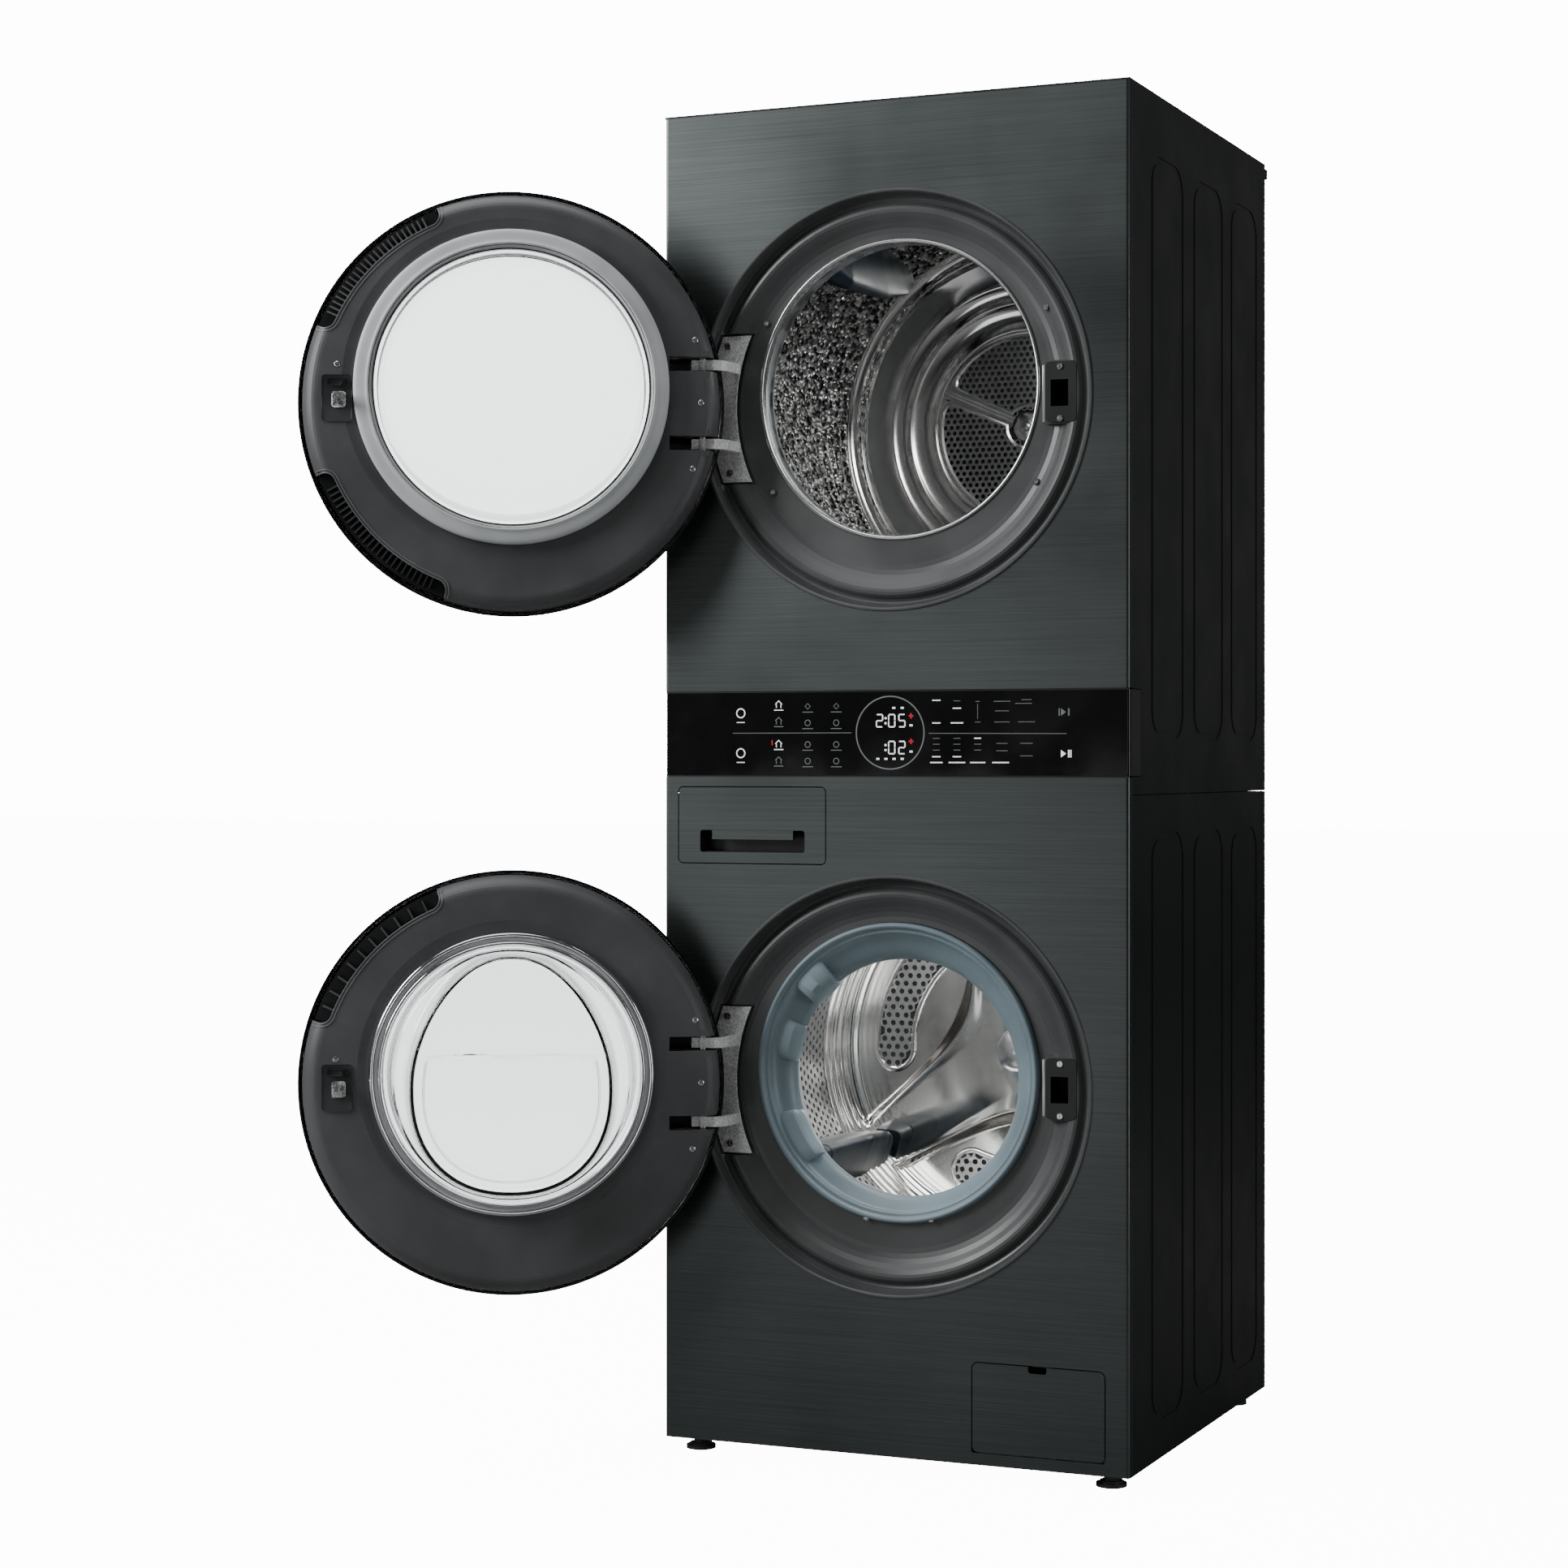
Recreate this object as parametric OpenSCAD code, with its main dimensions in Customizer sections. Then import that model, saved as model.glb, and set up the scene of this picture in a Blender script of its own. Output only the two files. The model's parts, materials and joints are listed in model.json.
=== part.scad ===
// Stacked washer and dryer tower: a front-loading washer below, a dryer above and one control band between.
// Frame: +Z up, front towards -Y, +X to the right. The origin is on the floor, below the cabinet's centre.
// Both doors are drawn swung open, the drawer, the filters and the pump cover shut.

/* [Cabinet] */
// Width of the cabinet
cab_w = 686; // [670:1:700]
// Depth of the cabinet without the doors
cab_d = 690; // [680:1:720]
// Height of the top plate above the floor
cab_h = 1889; // [1880:1:1920]
// Height of the cabinet's lower edge above the floor
foot_gap = 20; // [16:1:26]
// Thickness of the sheet metal
sheet = 1.5; // [1:0.1:2]
// Radius of the folded front corners
corner_r = 5; // [3:0.5:8]

/* [Round fronts] */
// Height of the dryer's bezel centre
dryer_z = 1474; // [1465:1:1485]
// Height of the washer's bezel centre
washer_z = 529; // [520:1:540]
// Outer radius of a bezel
bezel_r = 290; // [286:1:292]
// Radius of the loading mouth
mouth_r = 208.5; // [204:0.5:212]
// Height of a mouth's centre above its bezel's centre
mouth_up = 17; // [12:1:20]

/* [Doors] */
// Outer radius of a door
door_r = 296; // [292:1:298]
// Angle that a door opens to
door_open = 152; // [90:1:155]
// Radius of a hinge pin
pin_r = 4; // [3:0.5:5]
// Height of a hinge arm above or below the bezel's centre
arm_z = 55; // [50:1:60]

/* [Drums] */
// Inner radius of the dryer drum
dryer_drum_r = 295; // [285:1:300]
// Inner radius of the wash drum
wash_drum_r = 274; // [265:1:278]
// Height of the wash drum's axis
wash_axis_z = 536; // [530:1:545]

/* [Control band] */
// Lower edge of the control band
band_z0 = 957; // [950:1:965]
// Upper edge of the control band
band_z1 = 1073; // [1065:1:1080]

/* [Drawer and pump cover] */
// Width of the detergent drawer's front
drawer_w = 224; // [216:1:228]
// Height of the detergent drawer's front
drawer_h = 106; // [100:1:110]
// Width of the pump cover
pump_door_w = 188; // [180:1:190]
// Height of the pump cover
pump_door_h = 121; // [110:1:125]

/* [Hidden] */
$fn = 96;

front_y = -cab_d / 2;
rear_y = cab_d / 2;
half_w = cab_w / 2;
panel_back = front_y + 15;
dryer_axis_z = dryer_z + mouth_up;
mouth_depth = 28;
panel_hole_r = bezel_r - 3.5;
split_z = 932;
running = 0.08;

// Edges of the drawer's front and of the pump cover: left, right, lower and upper.
drawer = [-321, drawer_w - 321, 834, 834 + drawer_h];
pump_door = [308 - pump_door_w, 308, 38, 38 + pump_door_h];

// Door hinge axis, from the front plane, and the door's own depths.
hinge_x = -266;
hinge_y = front_y - 38;
door_in_y = front_y - 14;
door_mid_y = front_y - 45;
frame_r = door_r - 6.5;
arm_w = 14;

// Belt drive of the dryer drum.
drum_outer_r = dryer_drum_r + 2;
pulley_r = 18;
motor_x = 150;
motor_z = 1075;
belt_y = rear_y - 260;
belt_w = 8;

// Levelling feet.
foot_x = half_w - 38;
foot_fy = front_y + 40;
foot_ry = rear_y - 45;
stem_r = 6;

module along_y(x, z, y) translate([x, y, z]) rotate([-90, 0, 0]) children();

module disc(x, z, y, len, r) along_y(x, z, y) cylinder(r = r, h = len);

module ring(x, z, y, len, ro, ri) along_y(x, z, y) difference() {
    cylinder(r = ro, h = len);
    translate([0, 0, -1]) cylinder(r = ri, h = len + 2);
}

module block(x0, x1, y0, y1, z0, z1) translate([x0, y0, z0]) cube([x1 - x0, y1 - y0, z1 - z0]);

// A flat outline with four round corners.
module soft_rect(x0, x1, y0, y1, r) {
    translate([x0 + r, y0]) square([x1 - x0 - 2 * r, y1 - y0]);
    translate([x0, y0 + r]) square([x1 - x0, y1 - y0 - 2 * r]);
    for (x = [x0 + r, x1 - r], y = [y0 + r, y1 - r]) translate([x, y]) circle(r);
}

// A plate in the X-Z plane with round corners, from y to y + t.
module plate_y(x0, x1, z0, z1, r, y, t)
    translate([0, y + t, 0]) rotate([90, 0, 0]) linear_extrude(t) soft_rect(x0, x1, z0, z1, r);

// A plate in the Y-Z plane with round corners, from x to x + t.
module plate_x(y0, y1, z0, z1, r, x, t)
    translate([x, 0, 0]) rotate([90, 0, 90]) linear_extrude(t) soft_rect(y0, y1, z0, z1, r);

// Plan outline of a front pan: a face with two folded edges.
module pan_outline(w, d, r) {
    translate([-w / 2 + r, 0]) square([w - 2 * r, d]);
    translate([-w / 2, r]) square([w, d - r]);
    for (s = [-1, 1]) translate([s * (w / 2 - r), r]) circle(r);
}

module front_pan(z0, z1) translate([0, front_y, z0]) linear_extrude(z1 - z0) difference() {
    pan_outline(cab_w, 15, corner_r);
    translate([0, sheet]) pan_outline(cab_w - 2 * sheet, 15, corner_r - sheet);
}

// One side panel: a flat sheet with three tall loops pressed into it and folded front and rear edges.
loop_y = [[100, 246], [304, 448], [500, 637]];

module side_panel(side, z0, z1, loop_z0, loop_z1) {
    x_out = side * half_w;
    x_low = side > 0 ? x_out - 2.5 : x_out;
    groove_x = x_out - 1;
    inner = side > 0 ? x_out - 14 : x_out + 2.5;
    difference() {
        union() {
            block(x_low, x_low + 2.5, panel_back, rear_y, z0, z1);
            block(inner, inner + 11.5, panel_back, panel_back + sheet, z0, z1);
            block(inner, inner + 11.5, rear_y - 2 * sheet, rear_y - sheet, z0, z1);
        }
        for (l = loop_y) difference() {
            plate_x(front_y + l[0] - 5, front_y + l[1] + 5, loop_z0 - 5, loop_z1 + 5, 40, groove_x, 2);
            plate_x(front_y + l[0] + 5, front_y + l[1] - 5, loop_z0 + 5, loop_z1 - 5, 30, groove_x - 1, 4);
        }
        block(x_out - 20, x_out + 20, panel_back - 5, front_y + 50.5, band_z0 - 1, band_z1 + 1);
    }
}

module lower_side_left() color("#191e1e") side_panel(-1, foot_gap, split_z - 1, 78, 874);
module lower_side_right() color("#191e1e") side_panel(1, foot_gap, split_z - 1, 78, 874);
module upper_side_left() color("#191e1e") side_panel(-1, split_z, cab_h - 3, 1012, 1800);
module upper_side_right() color("#191e1e") side_panel(1, split_z, cab_h - 3, 1012, 1800);

// Pressed base tray with four threaded foot bosses.
module base_frame() color("#3a3d3e") difference() {
    union() {
        difference() {
            block(-half_w + 15, half_w - 15, panel_back + 2, rear_y - 4, foot_gap + 2, foot_gap + 36);
            block(-half_w + 17, half_w - 17, panel_back + 4, rear_y - 6, foot_gap + 4, foot_gap + 40);
            block(-170, 170, front_y + 150, rear_y - 150, foot_gap - 1, foot_gap + 9);
        }
        for (x = [-foot_x, foot_x], y = [foot_fy, foot_ry])
            translate([x, y, foot_gap + 2]) cylinder(r = 15, h = 24);
        for (y = [front_y + 110, rear_y - 130])
            block(-half_w + 16, half_w - 16, y, y + 20, foot_gap + 3, foot_gap + 14);
    }
    for (x = [-foot_x, foot_x], y = [foot_fy, foot_ry])
        translate([x, y, foot_gap - 2]) cylinder(r = stem_r + running, h = 60);
}

// Screw-in levelling foot: a wide pad, a hexagon to turn it by and a threaded stem.
module foot(x, y) color("#1b1c1d") translate([x, y, 0]) {
    cylinder(r = 21, h = 5);
    translate([0, 0, 5]) cylinder(r = 16, h = 3);
    translate([0, 0, 8]) cylinder(r = 11, h = 6, $fn = 6);
    translate([0, 0, 14]) cylinder(r = stem_r, h = 38);
}

module foot_front_left() foot(-foot_x, foot_fy);
module foot_front_right() foot(foot_x, foot_fy);
module foot_rear_left() foot(-foot_x, foot_ry);
module foot_rear_right() foot(foot_x, foot_ry);

inlet_x = [-250, -205];
inlet_z = 870;
drain_x = 240;
drain_z = 858;
exhaust_z = 1060;
terminal = [-290, -190, 1000, 1080];

module rear_sheet(z0, z1) block(-half_w + 3, half_w - 3, rear_y - sheet, rear_y, z0, z1);

module rear_panel_lower() color("#6f7476") difference() {
    rear_sheet(foot_gap + 2, split_z - 1);
    for (x = inlet_x) disc(x, inlet_z, rear_y - 5, 10, 17);
    disc(drain_x, drain_z, rear_y - 5, 10, 19);
    for (i = [0 : 7]) block(90 + i * 16, 97 + i * 16, rear_y - 5, rear_y + 5, 120, 190);
}

module rear_panel_upper() color("#6f7476") difference() {
    rear_sheet(split_z, cab_h - 3);
    disc(0, exhaust_z, rear_y - 5, 10, 53);
    block(terminal[0] + 12, terminal[1] - 12, rear_y - 5, rear_y + 5, terminal[2] + 12, terminal[3] - 12);
    for (i = [0 : 11], s = [-1, 1])
        block(s * 170 - 60, s * 170 + 60, rear_y - 5, rear_y + 5, 1300 + i * 18, 1307 + i * 18);
}

module top_plate() color("#1d2121") {
    block(-half_w, half_w, front_y + 0.5, rear_y, cab_h - 3, cab_h);
    for (s = [-1, 1]) {
        block(s * 330 - 12, s * 330 + 12, rear_y + 0.2, rear_y + 18, cab_h - 20, cab_h - 6);
        block(s * 330 - 12, s * 330 + 12, rear_y + 0.2, rear_y + 2, cab_h - 20, cab_h);
        block(s * 330 - 12, s * 330 + 12, rear_y - 0.5, rear_y + 2, cab_h - 2.5, cab_h);
    }
}

// Deck that closes the washer's top and carries the dryer.
module mid_deck() color("#5b6062") difference() {
    block(-half_w + 15, half_w - 15, panel_back + 3, rear_y - 5, split_z + 12, split_z + 20);
    block(-half_w + 19, half_w - 19, panel_back + 7, rear_y - 9, split_z + 15, split_z + 24);
}

module upper_front_panel() color("#3c4242") difference() {
    front_pan(band_z1 + 2, cab_h - 3);
    disc(0, dryer_z, front_y - 5, 30, panel_hole_r);
}

// Pump cover's hinge line, and the length of one of its barrels.
flap_z = pump_door[2] + 5;
flap_y = front_y + 5;
barrel = 12;
barrel_inset = 14;
flap_pin_r = 1.5;

// Arm that reaches in behind the pump cover from one side of its hole and carries a hinge pin.
module flap_pivot(side) {
    edge = side < 0 ? pump_door[0] - 1.5 : pump_door[1] + 1.5;
    inner = edge - side * (barrel_inset + 1);
    outer = edge + side * 8;
    block(min(inner, outer), max(inner, outer), flap_y + 2, flap_y + 6, flap_z, flap_z + 7);
    block(min(edge, outer), max(edge, outer), front_y + sheet, flap_y + 6, flap_z, flap_z + 7);
    block(min(inner, inner + side * 5), max(inner, inner + side * 5), flap_y, flap_y + 6, flap_z, flap_z + 7);
    translate([side < 0 ? inner - 5 : inner - barrel, flap_y, flap_z]) rotate([0, 90, 0])
        cylinder(r = flap_pin_r, h = barrel + 5);
}

module lower_front_panel() color("#3c4242") {
    difference() {
        front_pan(foot_gap, band_z0 - 2);
        disc(0, washer_z, front_y - 5, 30, panel_hole_r);
        plate_y(drawer[0] - 1.5, drawer[1] + 1.5, drawer[2] - 1.5, drawer[3] + 1.5, 8, front_y - 5, 12);
        plate_y(pump_door[0] - 1.5, pump_door[1] + 1.5, pump_door[2] + 10, pump_door[3] + 1.5, 10,
            front_y - 5, 12);
        plate_y(pump_door[0] - 1.5, pump_door[1] + 1.5, pump_door[2] - 1.5, pump_door[3] - 40, 3,
            front_y - 5, 12);
    }
    for (side = [-1, 1]) flap_pivot(side);
}

// Control band: a housing that wraps round both corners, with the touch glass over its front.
module control_housing() color("#101212") difference() {
    translate([0, front_y, band_z0]) linear_extrude(band_z1 - band_z0) difference() {
        union() {
            translate([-half_w + 5, 2]) square([cab_w - 10, 48]);
            translate([-half_w, 7]) square([cab_w, 43]);
            for (s = [-1, 1]) translate([s * (half_w - 5), 7]) circle(5);
        }
        translate([-half_w + 3, 8]) square([cab_w - 6, 40]);
    }
    for (z = [band_z0 + 20 : 25 : band_z1 - 20]) block(-200, 200, front_y + 45, front_y + 51, z, z + 8);
}

module control_glass() color("#060707")
    plate_y(-half_w + 3, half_w - 3, band_z0 + 0.5, band_z1 - 0.5, 2.5, front_y - 0.5, 2.4);

// Bezel section as radius and recess from the front plane: a bead, a trough, a shoulder and a flat face
// round the mouth.
bezel_face = [
    [bezel_r + 1, -1], [bezel_r, -2.5], [287.5, -2.5], [286, -1], [283, 14], [280, 18.5], [277, 20],
    [274, 19], [271, 15.5], [268, 13], [264, 12.2], [260, 13], [254, 16.5], [247, 21.5], [240, 25.5],
    [233, 27.6], [226, mouth_depth], [188, mouth_depth],
];
bezel_back = [
    [188, 31], [226, 31], [234, 30.6], [242, 28.3], [249, 24.5], [256, 19.5], [262, 16], [266, 16],
    [269, 19], [272, 22.5], [277, 23.5], [282, 21.5], [285.5, 16], [286, -0.1], [bezel_r + 1, -0.1],
];
// Hinge bay in a bezel: its inner and outer radius, how far it reaches down and up, and its floor.
bay = [238, 283.5, -107, 105];
bay_floor = 28;
// Small screws of the dryer's bezel: place across, place up from its centre and recess of the seat.
bezel_screws = [[-197, 118, 26], [-187, -119, 26], [220, 117, 17.5], [203, -118, 24.5]];
// Screws of a hinge bracket, and of a latch receiver, from the bezel's centre.
bracket_screws = [[-254, 88], [-250, -91]];
latch_screws = [[241.5, 35.5], [241.5, -35]];
// How far the washer's latch stands above its bezel's centre line, and its door's hook below it.
washer_latch_up = 4;
washer_hook_down = 5;

// A slice of a ring on the left, between two heights.
module left_sector(zc, y, len, ro, ri, low, high) intersection() {
    ring(0, zc, y, len, ro, ri);
    block(-300, -180, y - 1, y + len + 1, zc + low, zc + high);
}

module bezel(zc, screws, latch_up) color("#3a3f40") {
    y0 = front_y;
    difference() {
        union() {
            along_y(0, zc, y0) rotate_extrude() polygon(concat(bezel_face, bezel_back));
            left_sector(zc, y0 + 19, 12, 284.5, 252, bay[2] - 3, bay[3] + 3);
            left_sector(zc, y0 + 26.5, 4.5, 253, 235, bay[2] - 3, bay[3] + 3);
            left_sector(zc, y0 + 6, 25, 286, 283.5, bay[2] - 3, bay[3] + 3);
            ring(0, zc + mouth_up, y0 + mouth_depth + 1, 8, mouth_r + 3, mouth_r - 0.5);
            block(219.5, 266, y0 + 15, y0 + 31, zc + latch_up - 41.5, zc + latch_up + 44.5);
            for (p = screws) disc(p[0], zc + p[1], y0 + p[2], 30 - p[2], 5);
        }
        left_sector(zc, y0 - 10, bay_floor + 10, bay[1], bay[0], bay[2], bay[3]);
        disc(0, zc + mouth_up, y0 - 5, 60, mouth_r);
        block(222.5, 257.5, y0 + 10, y0 + 60, zc + latch_up - 31.5, zc + latch_up + 31.5);
        plate_y(220, 265, zc + latch_up - 40, zc + latch_up + 43, 7, y0 - 5, 20);
    }
    for (p = bracket_screws) disc(p[0], zc + p[1], y0 + 22, bay_floor - 21.5, 8);
}

module dryer_bezel() bezel(dryer_z, bezel_screws, 0);
module washer_bezel() bezel(washer_z, [], washer_latch_up);

// Hinge bracket: a plate screwed in the bezel's bay and two arms that reach out to the pins.
module bracket_arm(z) {
    difference() {
        translate([0, 0, z - arm_w / 2]) linear_extrude(arm_w) {
            polygon([
                [-234.5, front_y + 20], [-235.5, front_y - 22], [-239, front_y - 34], [-247, front_y - 42],
                [hinge_x, hinge_y - 7], [hinge_x, hinge_y + 7], [-250, front_y - 31],
                [-244, front_y - 24], [-243.5, front_y + 20],
            ]);
            translate([hinge_x, hinge_y]) circle(8);
            translate([hinge_x, hinge_y]) rotate(180 + 180 - door_open) translate([0, -5]) square([16, 10]);
        }
        translate([hinge_x, hinge_y, z - 20]) cylinder(r = pin_r + 0.01, h = 40);
    }
}

module bracket(zc) {
    difference() {
        left_sector(zc, front_y + 19, 3, bay[1] - 3, bay[0] + 3, bay[2] + 3, bay[3] - 3);
        for (p = bracket_screws) disc(p[0], zc + p[1], front_y + 10, 30, 2.2);
    }
    for (s = [-1, 1]) bracket_arm(zc + s * arm_z);
}

module hinge_brackets() color("#b9bcbc") {
    bracket(dryer_z);
    bracket(washer_z);
}

module hinge_pins() color("#d8dada") for (zc = [dryer_z, washer_z], s = [-1, 1])
    translate([hinge_x, hinge_y, zc + s * arm_z - 16]) cylinder(r = pin_r, h = 32);

// Latch receivers behind the bezels: a black plate with a slot for the door's hook and the switch body.
module latch_receiver(zl) difference() {
    union() {
        plate_y(220.5, 264.5, zl - 39.5, zl + 42.5, 6.5, front_y + 12, 3);
        block(223, 257, front_y + 14, front_y + 62, zl - 31, zl + 31);
    }
    block(228, 253, front_y + 5, front_y + 50, zl - 18, zl + 18);
    for (p = latch_screws) disc(p[0], zl + p[1], front_y + 5, 12, 2.2);
}

module latch_receivers() color("#141617") {
    latch_receiver(dryer_z);
    latch_receiver(washer_z + washer_latch_up);
}

// Washer mouth: bellows gasket from the bezel's mouth back to the tub.
gasket_z = washer_z + mouth_up;
tub_y0 = front_y + 95;

module door_gasket() color("#5f737d") along_y(0, gasket_z, front_y) rotate_extrude() polygon([
    [mouth_r - 0.5, 24], [mouth_r - 2, 20], [201, 19], [196, 23], [192, 33], [184, 40], [176, 46],
    [170, 54], [168, 62], [170, 69], [176, 71], [182, 66], [187, 58], [192, 60], [192.5, 70],
    [190.5, 95], [194.8, 95], [194.8, 71.5], [197, 70], [197, 56], [193, 50], [188, 48], [190, 45], [197, 38],
    [201, 28], [204, 26.5], [205.5, 36], [mouth_r - 0.5, 36],
]);

module tub_front_cover() color("#c9cccb") {
    along_y(0, wash_axis_z, front_y) rotate_extrude() polygon([
        [180, 98], [240, 98], [297, 112], [303, 112], [303, 230], [297, 230], [297, 118],
        [240, 104], [180, 104],
    ]);
    ring(0, wash_axis_z, front_y + 226, 5, 311, 302);
    difference() {
        ring(0, gasket_z, front_y + 72, 27, 201, 195.2);
        disc(0, wash_axis_z, front_y + 98, 10, 185);
    }
}

tub_back = 560;
hub_y = 519;

module wash_tub() color("#bfc3c2") difference() {
    union() {
        ring(0, wash_axis_z, front_y + 232, tub_back - 232, 303, 297);
        ring(0, wash_axis_z, front_y + 232, 5, 311, 302);
        disc(0, wash_axis_z, front_y + tub_back - 6, 6, 303);
        disc(0, wash_axis_z, front_y + tub_back - 12, 36, 44);
        for (a = [0 : 30 : 330]) along_y(0, wash_axis_z, front_y + tub_back - 1) rotate([0, 0, a])
            translate([60, -2, 0]) cube([225, 4, 8]);
        block(-40, 40, front_y + 350, front_y + 450, wash_axis_z - 318, wash_axis_z - 296);
    }
    disc(0, wash_axis_z, front_y + tub_back - 30, 80, 15 + running);
    block(-32, 32, front_y + 358, front_y + 442, wash_axis_z - 310, wash_axis_z - 290);
    disc(0, wash_axis_z - 306, front_y + 440, 20, 14);
}

// Cast ring weight bolted to the tub's front, open at the bottom for the sump side.
module tub_counterweight() color("#8d8f8c") difference() {
    ring(0, wash_axis_z, front_y + 66, 30, 288, 214);
    block(-60, 60, front_y + 60, front_y + 110, wash_axis_z - 300, wash_axis_z - 180);
    block(215, 300, front_y + 60, front_y + 110, wash_axis_z - 60, wash_axis_z + 50);
    block(-330, -80, front_y + 60, front_y + 110, 820, 900);
}

// Two hanging springs above the tub and two pairs of dampers below it.
module tub_suspension() color("#7d8284") {
    for (s = [-1, 1]) {
        translate([s * 312, 30, 640]) cylinder(r = 4, h = split_z + 12 - 640.1);
        translate([s * 312, 30, 700]) cylinder(r = 11, h = 110);
        block(s * 303 - 15, s * 303 + 15, 22, 38, 634, 642);
    }
    for (s = [-1, 1], y = [-40, 120]) translate([s * 210, y, foot_gap + 4.1]) {
        cylinder(r = 13, h = 150);
        translate([0, 0, 148]) cylinder(r = 6, h = 139);
    }
}

module motor_stator() color("#9a5b34") difference() {
    union() {
        ring(0, wash_axis_z, front_y + tub_back + 9, 26, 118, 92);
        for (a = [0 : 20 : 340]) along_y(0, wash_axis_z, front_y + tub_back + 11) rotate([0, 0, a])
            translate([112, -8, 0]) cube([18, 16, 22]);
    }
    disc(0, wash_axis_z, front_y + tub_back, 60, 92);
}

module drain_pump_body() color("#d6d8d5") difference() {
    union() {
        disc(214, 96, front_y + 40, 110, 34);
        disc(214, 96, front_y + 150, 50, 26);
        translate([150, front_y + 120, 96]) rotate([0, 90, 0]) cylinder(r = 15, h = 40);
        translate([214, front_y + 95, 120]) cylinder(r = 11, h = 40);
        block(184, 244, front_y + 60, front_y + 180, foot_gap + 38, 76);
    }
    disc(214, 96, front_y + 30, 95, 30 + running);
}

// Filter and coin trap of the drain pump, with a finger grip to unscrew it by.
module pump_filter() color("#e9ebe8") {
    disc(214, 96, front_y + 36, 66, 30);
    ring(214, 96, front_y + 32, 7.5, 38, 25);
    block(191, 237, front_y + 20, front_y + 38, 93, 99);
}

// Pump cover: a flap that drops forward about its lower edge.
module pump_cover() color("#3c4242") {
    difference() {
        plate_y(pump_door[0], pump_door[1], pump_door[2], pump_door[3], 8, front_y, 3);
        plate_y(200, 226, pump_door[3] - 9, pump_door[3] + 10, 4, front_y - 5, 20);
    }
    for (x = [pump_door[0] + barrel_inset, pump_door[1] - barrel_inset - barrel]) difference() {
        union() {
            block(x, x + barrel, front_y + 2, flap_y, flap_z - 3.5, flap_z + 3.5);
            translate([x, flap_y, flap_z]) rotate([0, 90, 0]) cylinder(r = 3.5, h = barrel);
        }
        translate([x - 1, flap_y, flap_z]) rotate([0, 90, 0])
            cylinder(r = flap_pin_r + running, h = barrel + 2);
    }
}

// Dispenser box behind the drawer, and the drawer with its three compartments.
box_z0 = drawer[2] + 6;
box_z1 = drawer[3] - 2;

module detergent_housing() color("#d4d7d6") difference() {
    block(drawer[0] + 6, drawer[1] - 6, front_y + 12, front_y + 330, box_z0 - 2, box_z1);
    block(drawer[0] + 9, drawer[1] - 9, front_y + 5, front_y + 327, box_z0 + 1, box_z1 - 3);
}

drawer_slot = [-288, -128, 849, 880];

module detergent_drawer() color("#3c4242") {
    x0 = drawer[0] + 11;
    x1 = drawer[1] - 11;
    difference() {
        plate_y(drawer[0], drawer[1], drawer[2], drawer[3], 6, front_y, 10);
        plate_y(drawer_slot[0], drawer_slot[1], drawer_slot[2], drawer_slot[3], 4, front_y - 5, 20);
    }
    difference() {
        plate_y(drawer_slot[0] - 4, drawer_slot[1] + 4, drawer_slot[2] - 4, drawer_slot[3] + 4, 6,
            front_y + 4, 28);
        plate_y(drawer_slot[0], drawer_slot[1], drawer_slot[2], drawer_slot[3], 4, front_y - 1, 30);
    }
    difference() {
        block(drawer_slot[0] + 18, drawer_slot[1] - 18, front_y + 1, front_y + 14, drawer_slot[3] - 13,
            drawer_slot[3] + 1);
        translate([drawer_slot[0], front_y + 16, drawer_slot[3] - 16]) rotate([0, 90, 0])
            cylinder(r = 11, h = 160);
    }
    difference() {
        block(x0, x1, front_y + 9, front_y + 290, box_z0 + 3, box_z1 - 8);
        for (c = [[x0 + 2.5, x0 + 62], [x0 + 65, x0 + 130], [x0 + 133, x1 - 2.5]])
            block(c[0], c[1], front_y + 34, front_y + 287, box_z0 + 6, box_z1);
        block(drawer_slot[0] - 3, drawer_slot[1] + 3, front_y + 8, front_y + 31, drawer_slot[2] - 3,
            drawer_slot[3] + 3);
    }
}

module inlet_valves() color("#e4e6e3") {
    block(-275, -180, rear_y - 50, rear_y - 20, inlet_z - 22, inlet_z + 22);
    for (x = inlet_x) {
        disc(x, inlet_z, rear_y - 24, 44, 13.3);
        disc(x, inlet_z, rear_y - 22, 8, 16);
        translate([x, rear_y - 35, inlet_z + 20]) cylinder(r = 11, h = 24);
    }
}

module drain_outlet() color("#2b2e2f") difference() {
    union() {
        disc(drain_x, drain_z, rear_y - 40, 75, 15);
        disc(drain_x, drain_z, rear_y - 10, 8, 24);
    }
    disc(drain_x, drain_z, rear_y - 45, 90, 12);
}

// Dryer front bulkhead: the fixed neck round the mouth that the drum's front edge turns on.
drum_y0 = front_y + 76;
drum_y1 = front_y + 576;
lint_z0 = 1092;

module dryer_front_bulkhead() color("#a9adad") difference() {
    union() {
        block(-half_w + 16, half_w - 16, front_y + 66, front_y + 68, dryer_axis_z - 330, dryer_axis_z + 330);
        ring(0, dryer_axis_z, front_y + 38, 30, mouth_r + 4, mouth_r - 1);
        ring(0, dryer_axis_z, front_y + 68, 22, dryer_drum_r - 3, dryer_drum_r - 6);
        block(-124, 124, front_y + 37.5, front_y + 70, lint_z0 - 12, 1296);
    }
    disc(0, dryer_axis_z, front_y + 20, 100, mouth_r - 4);
    block(-114, 114, front_y + 40, front_y + 62, lint_z0 - 6, 1326);
    block(60, 110, front_y + 60, front_y + 75, lint_z0 - 5, lint_z0 + 45);
}

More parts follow.
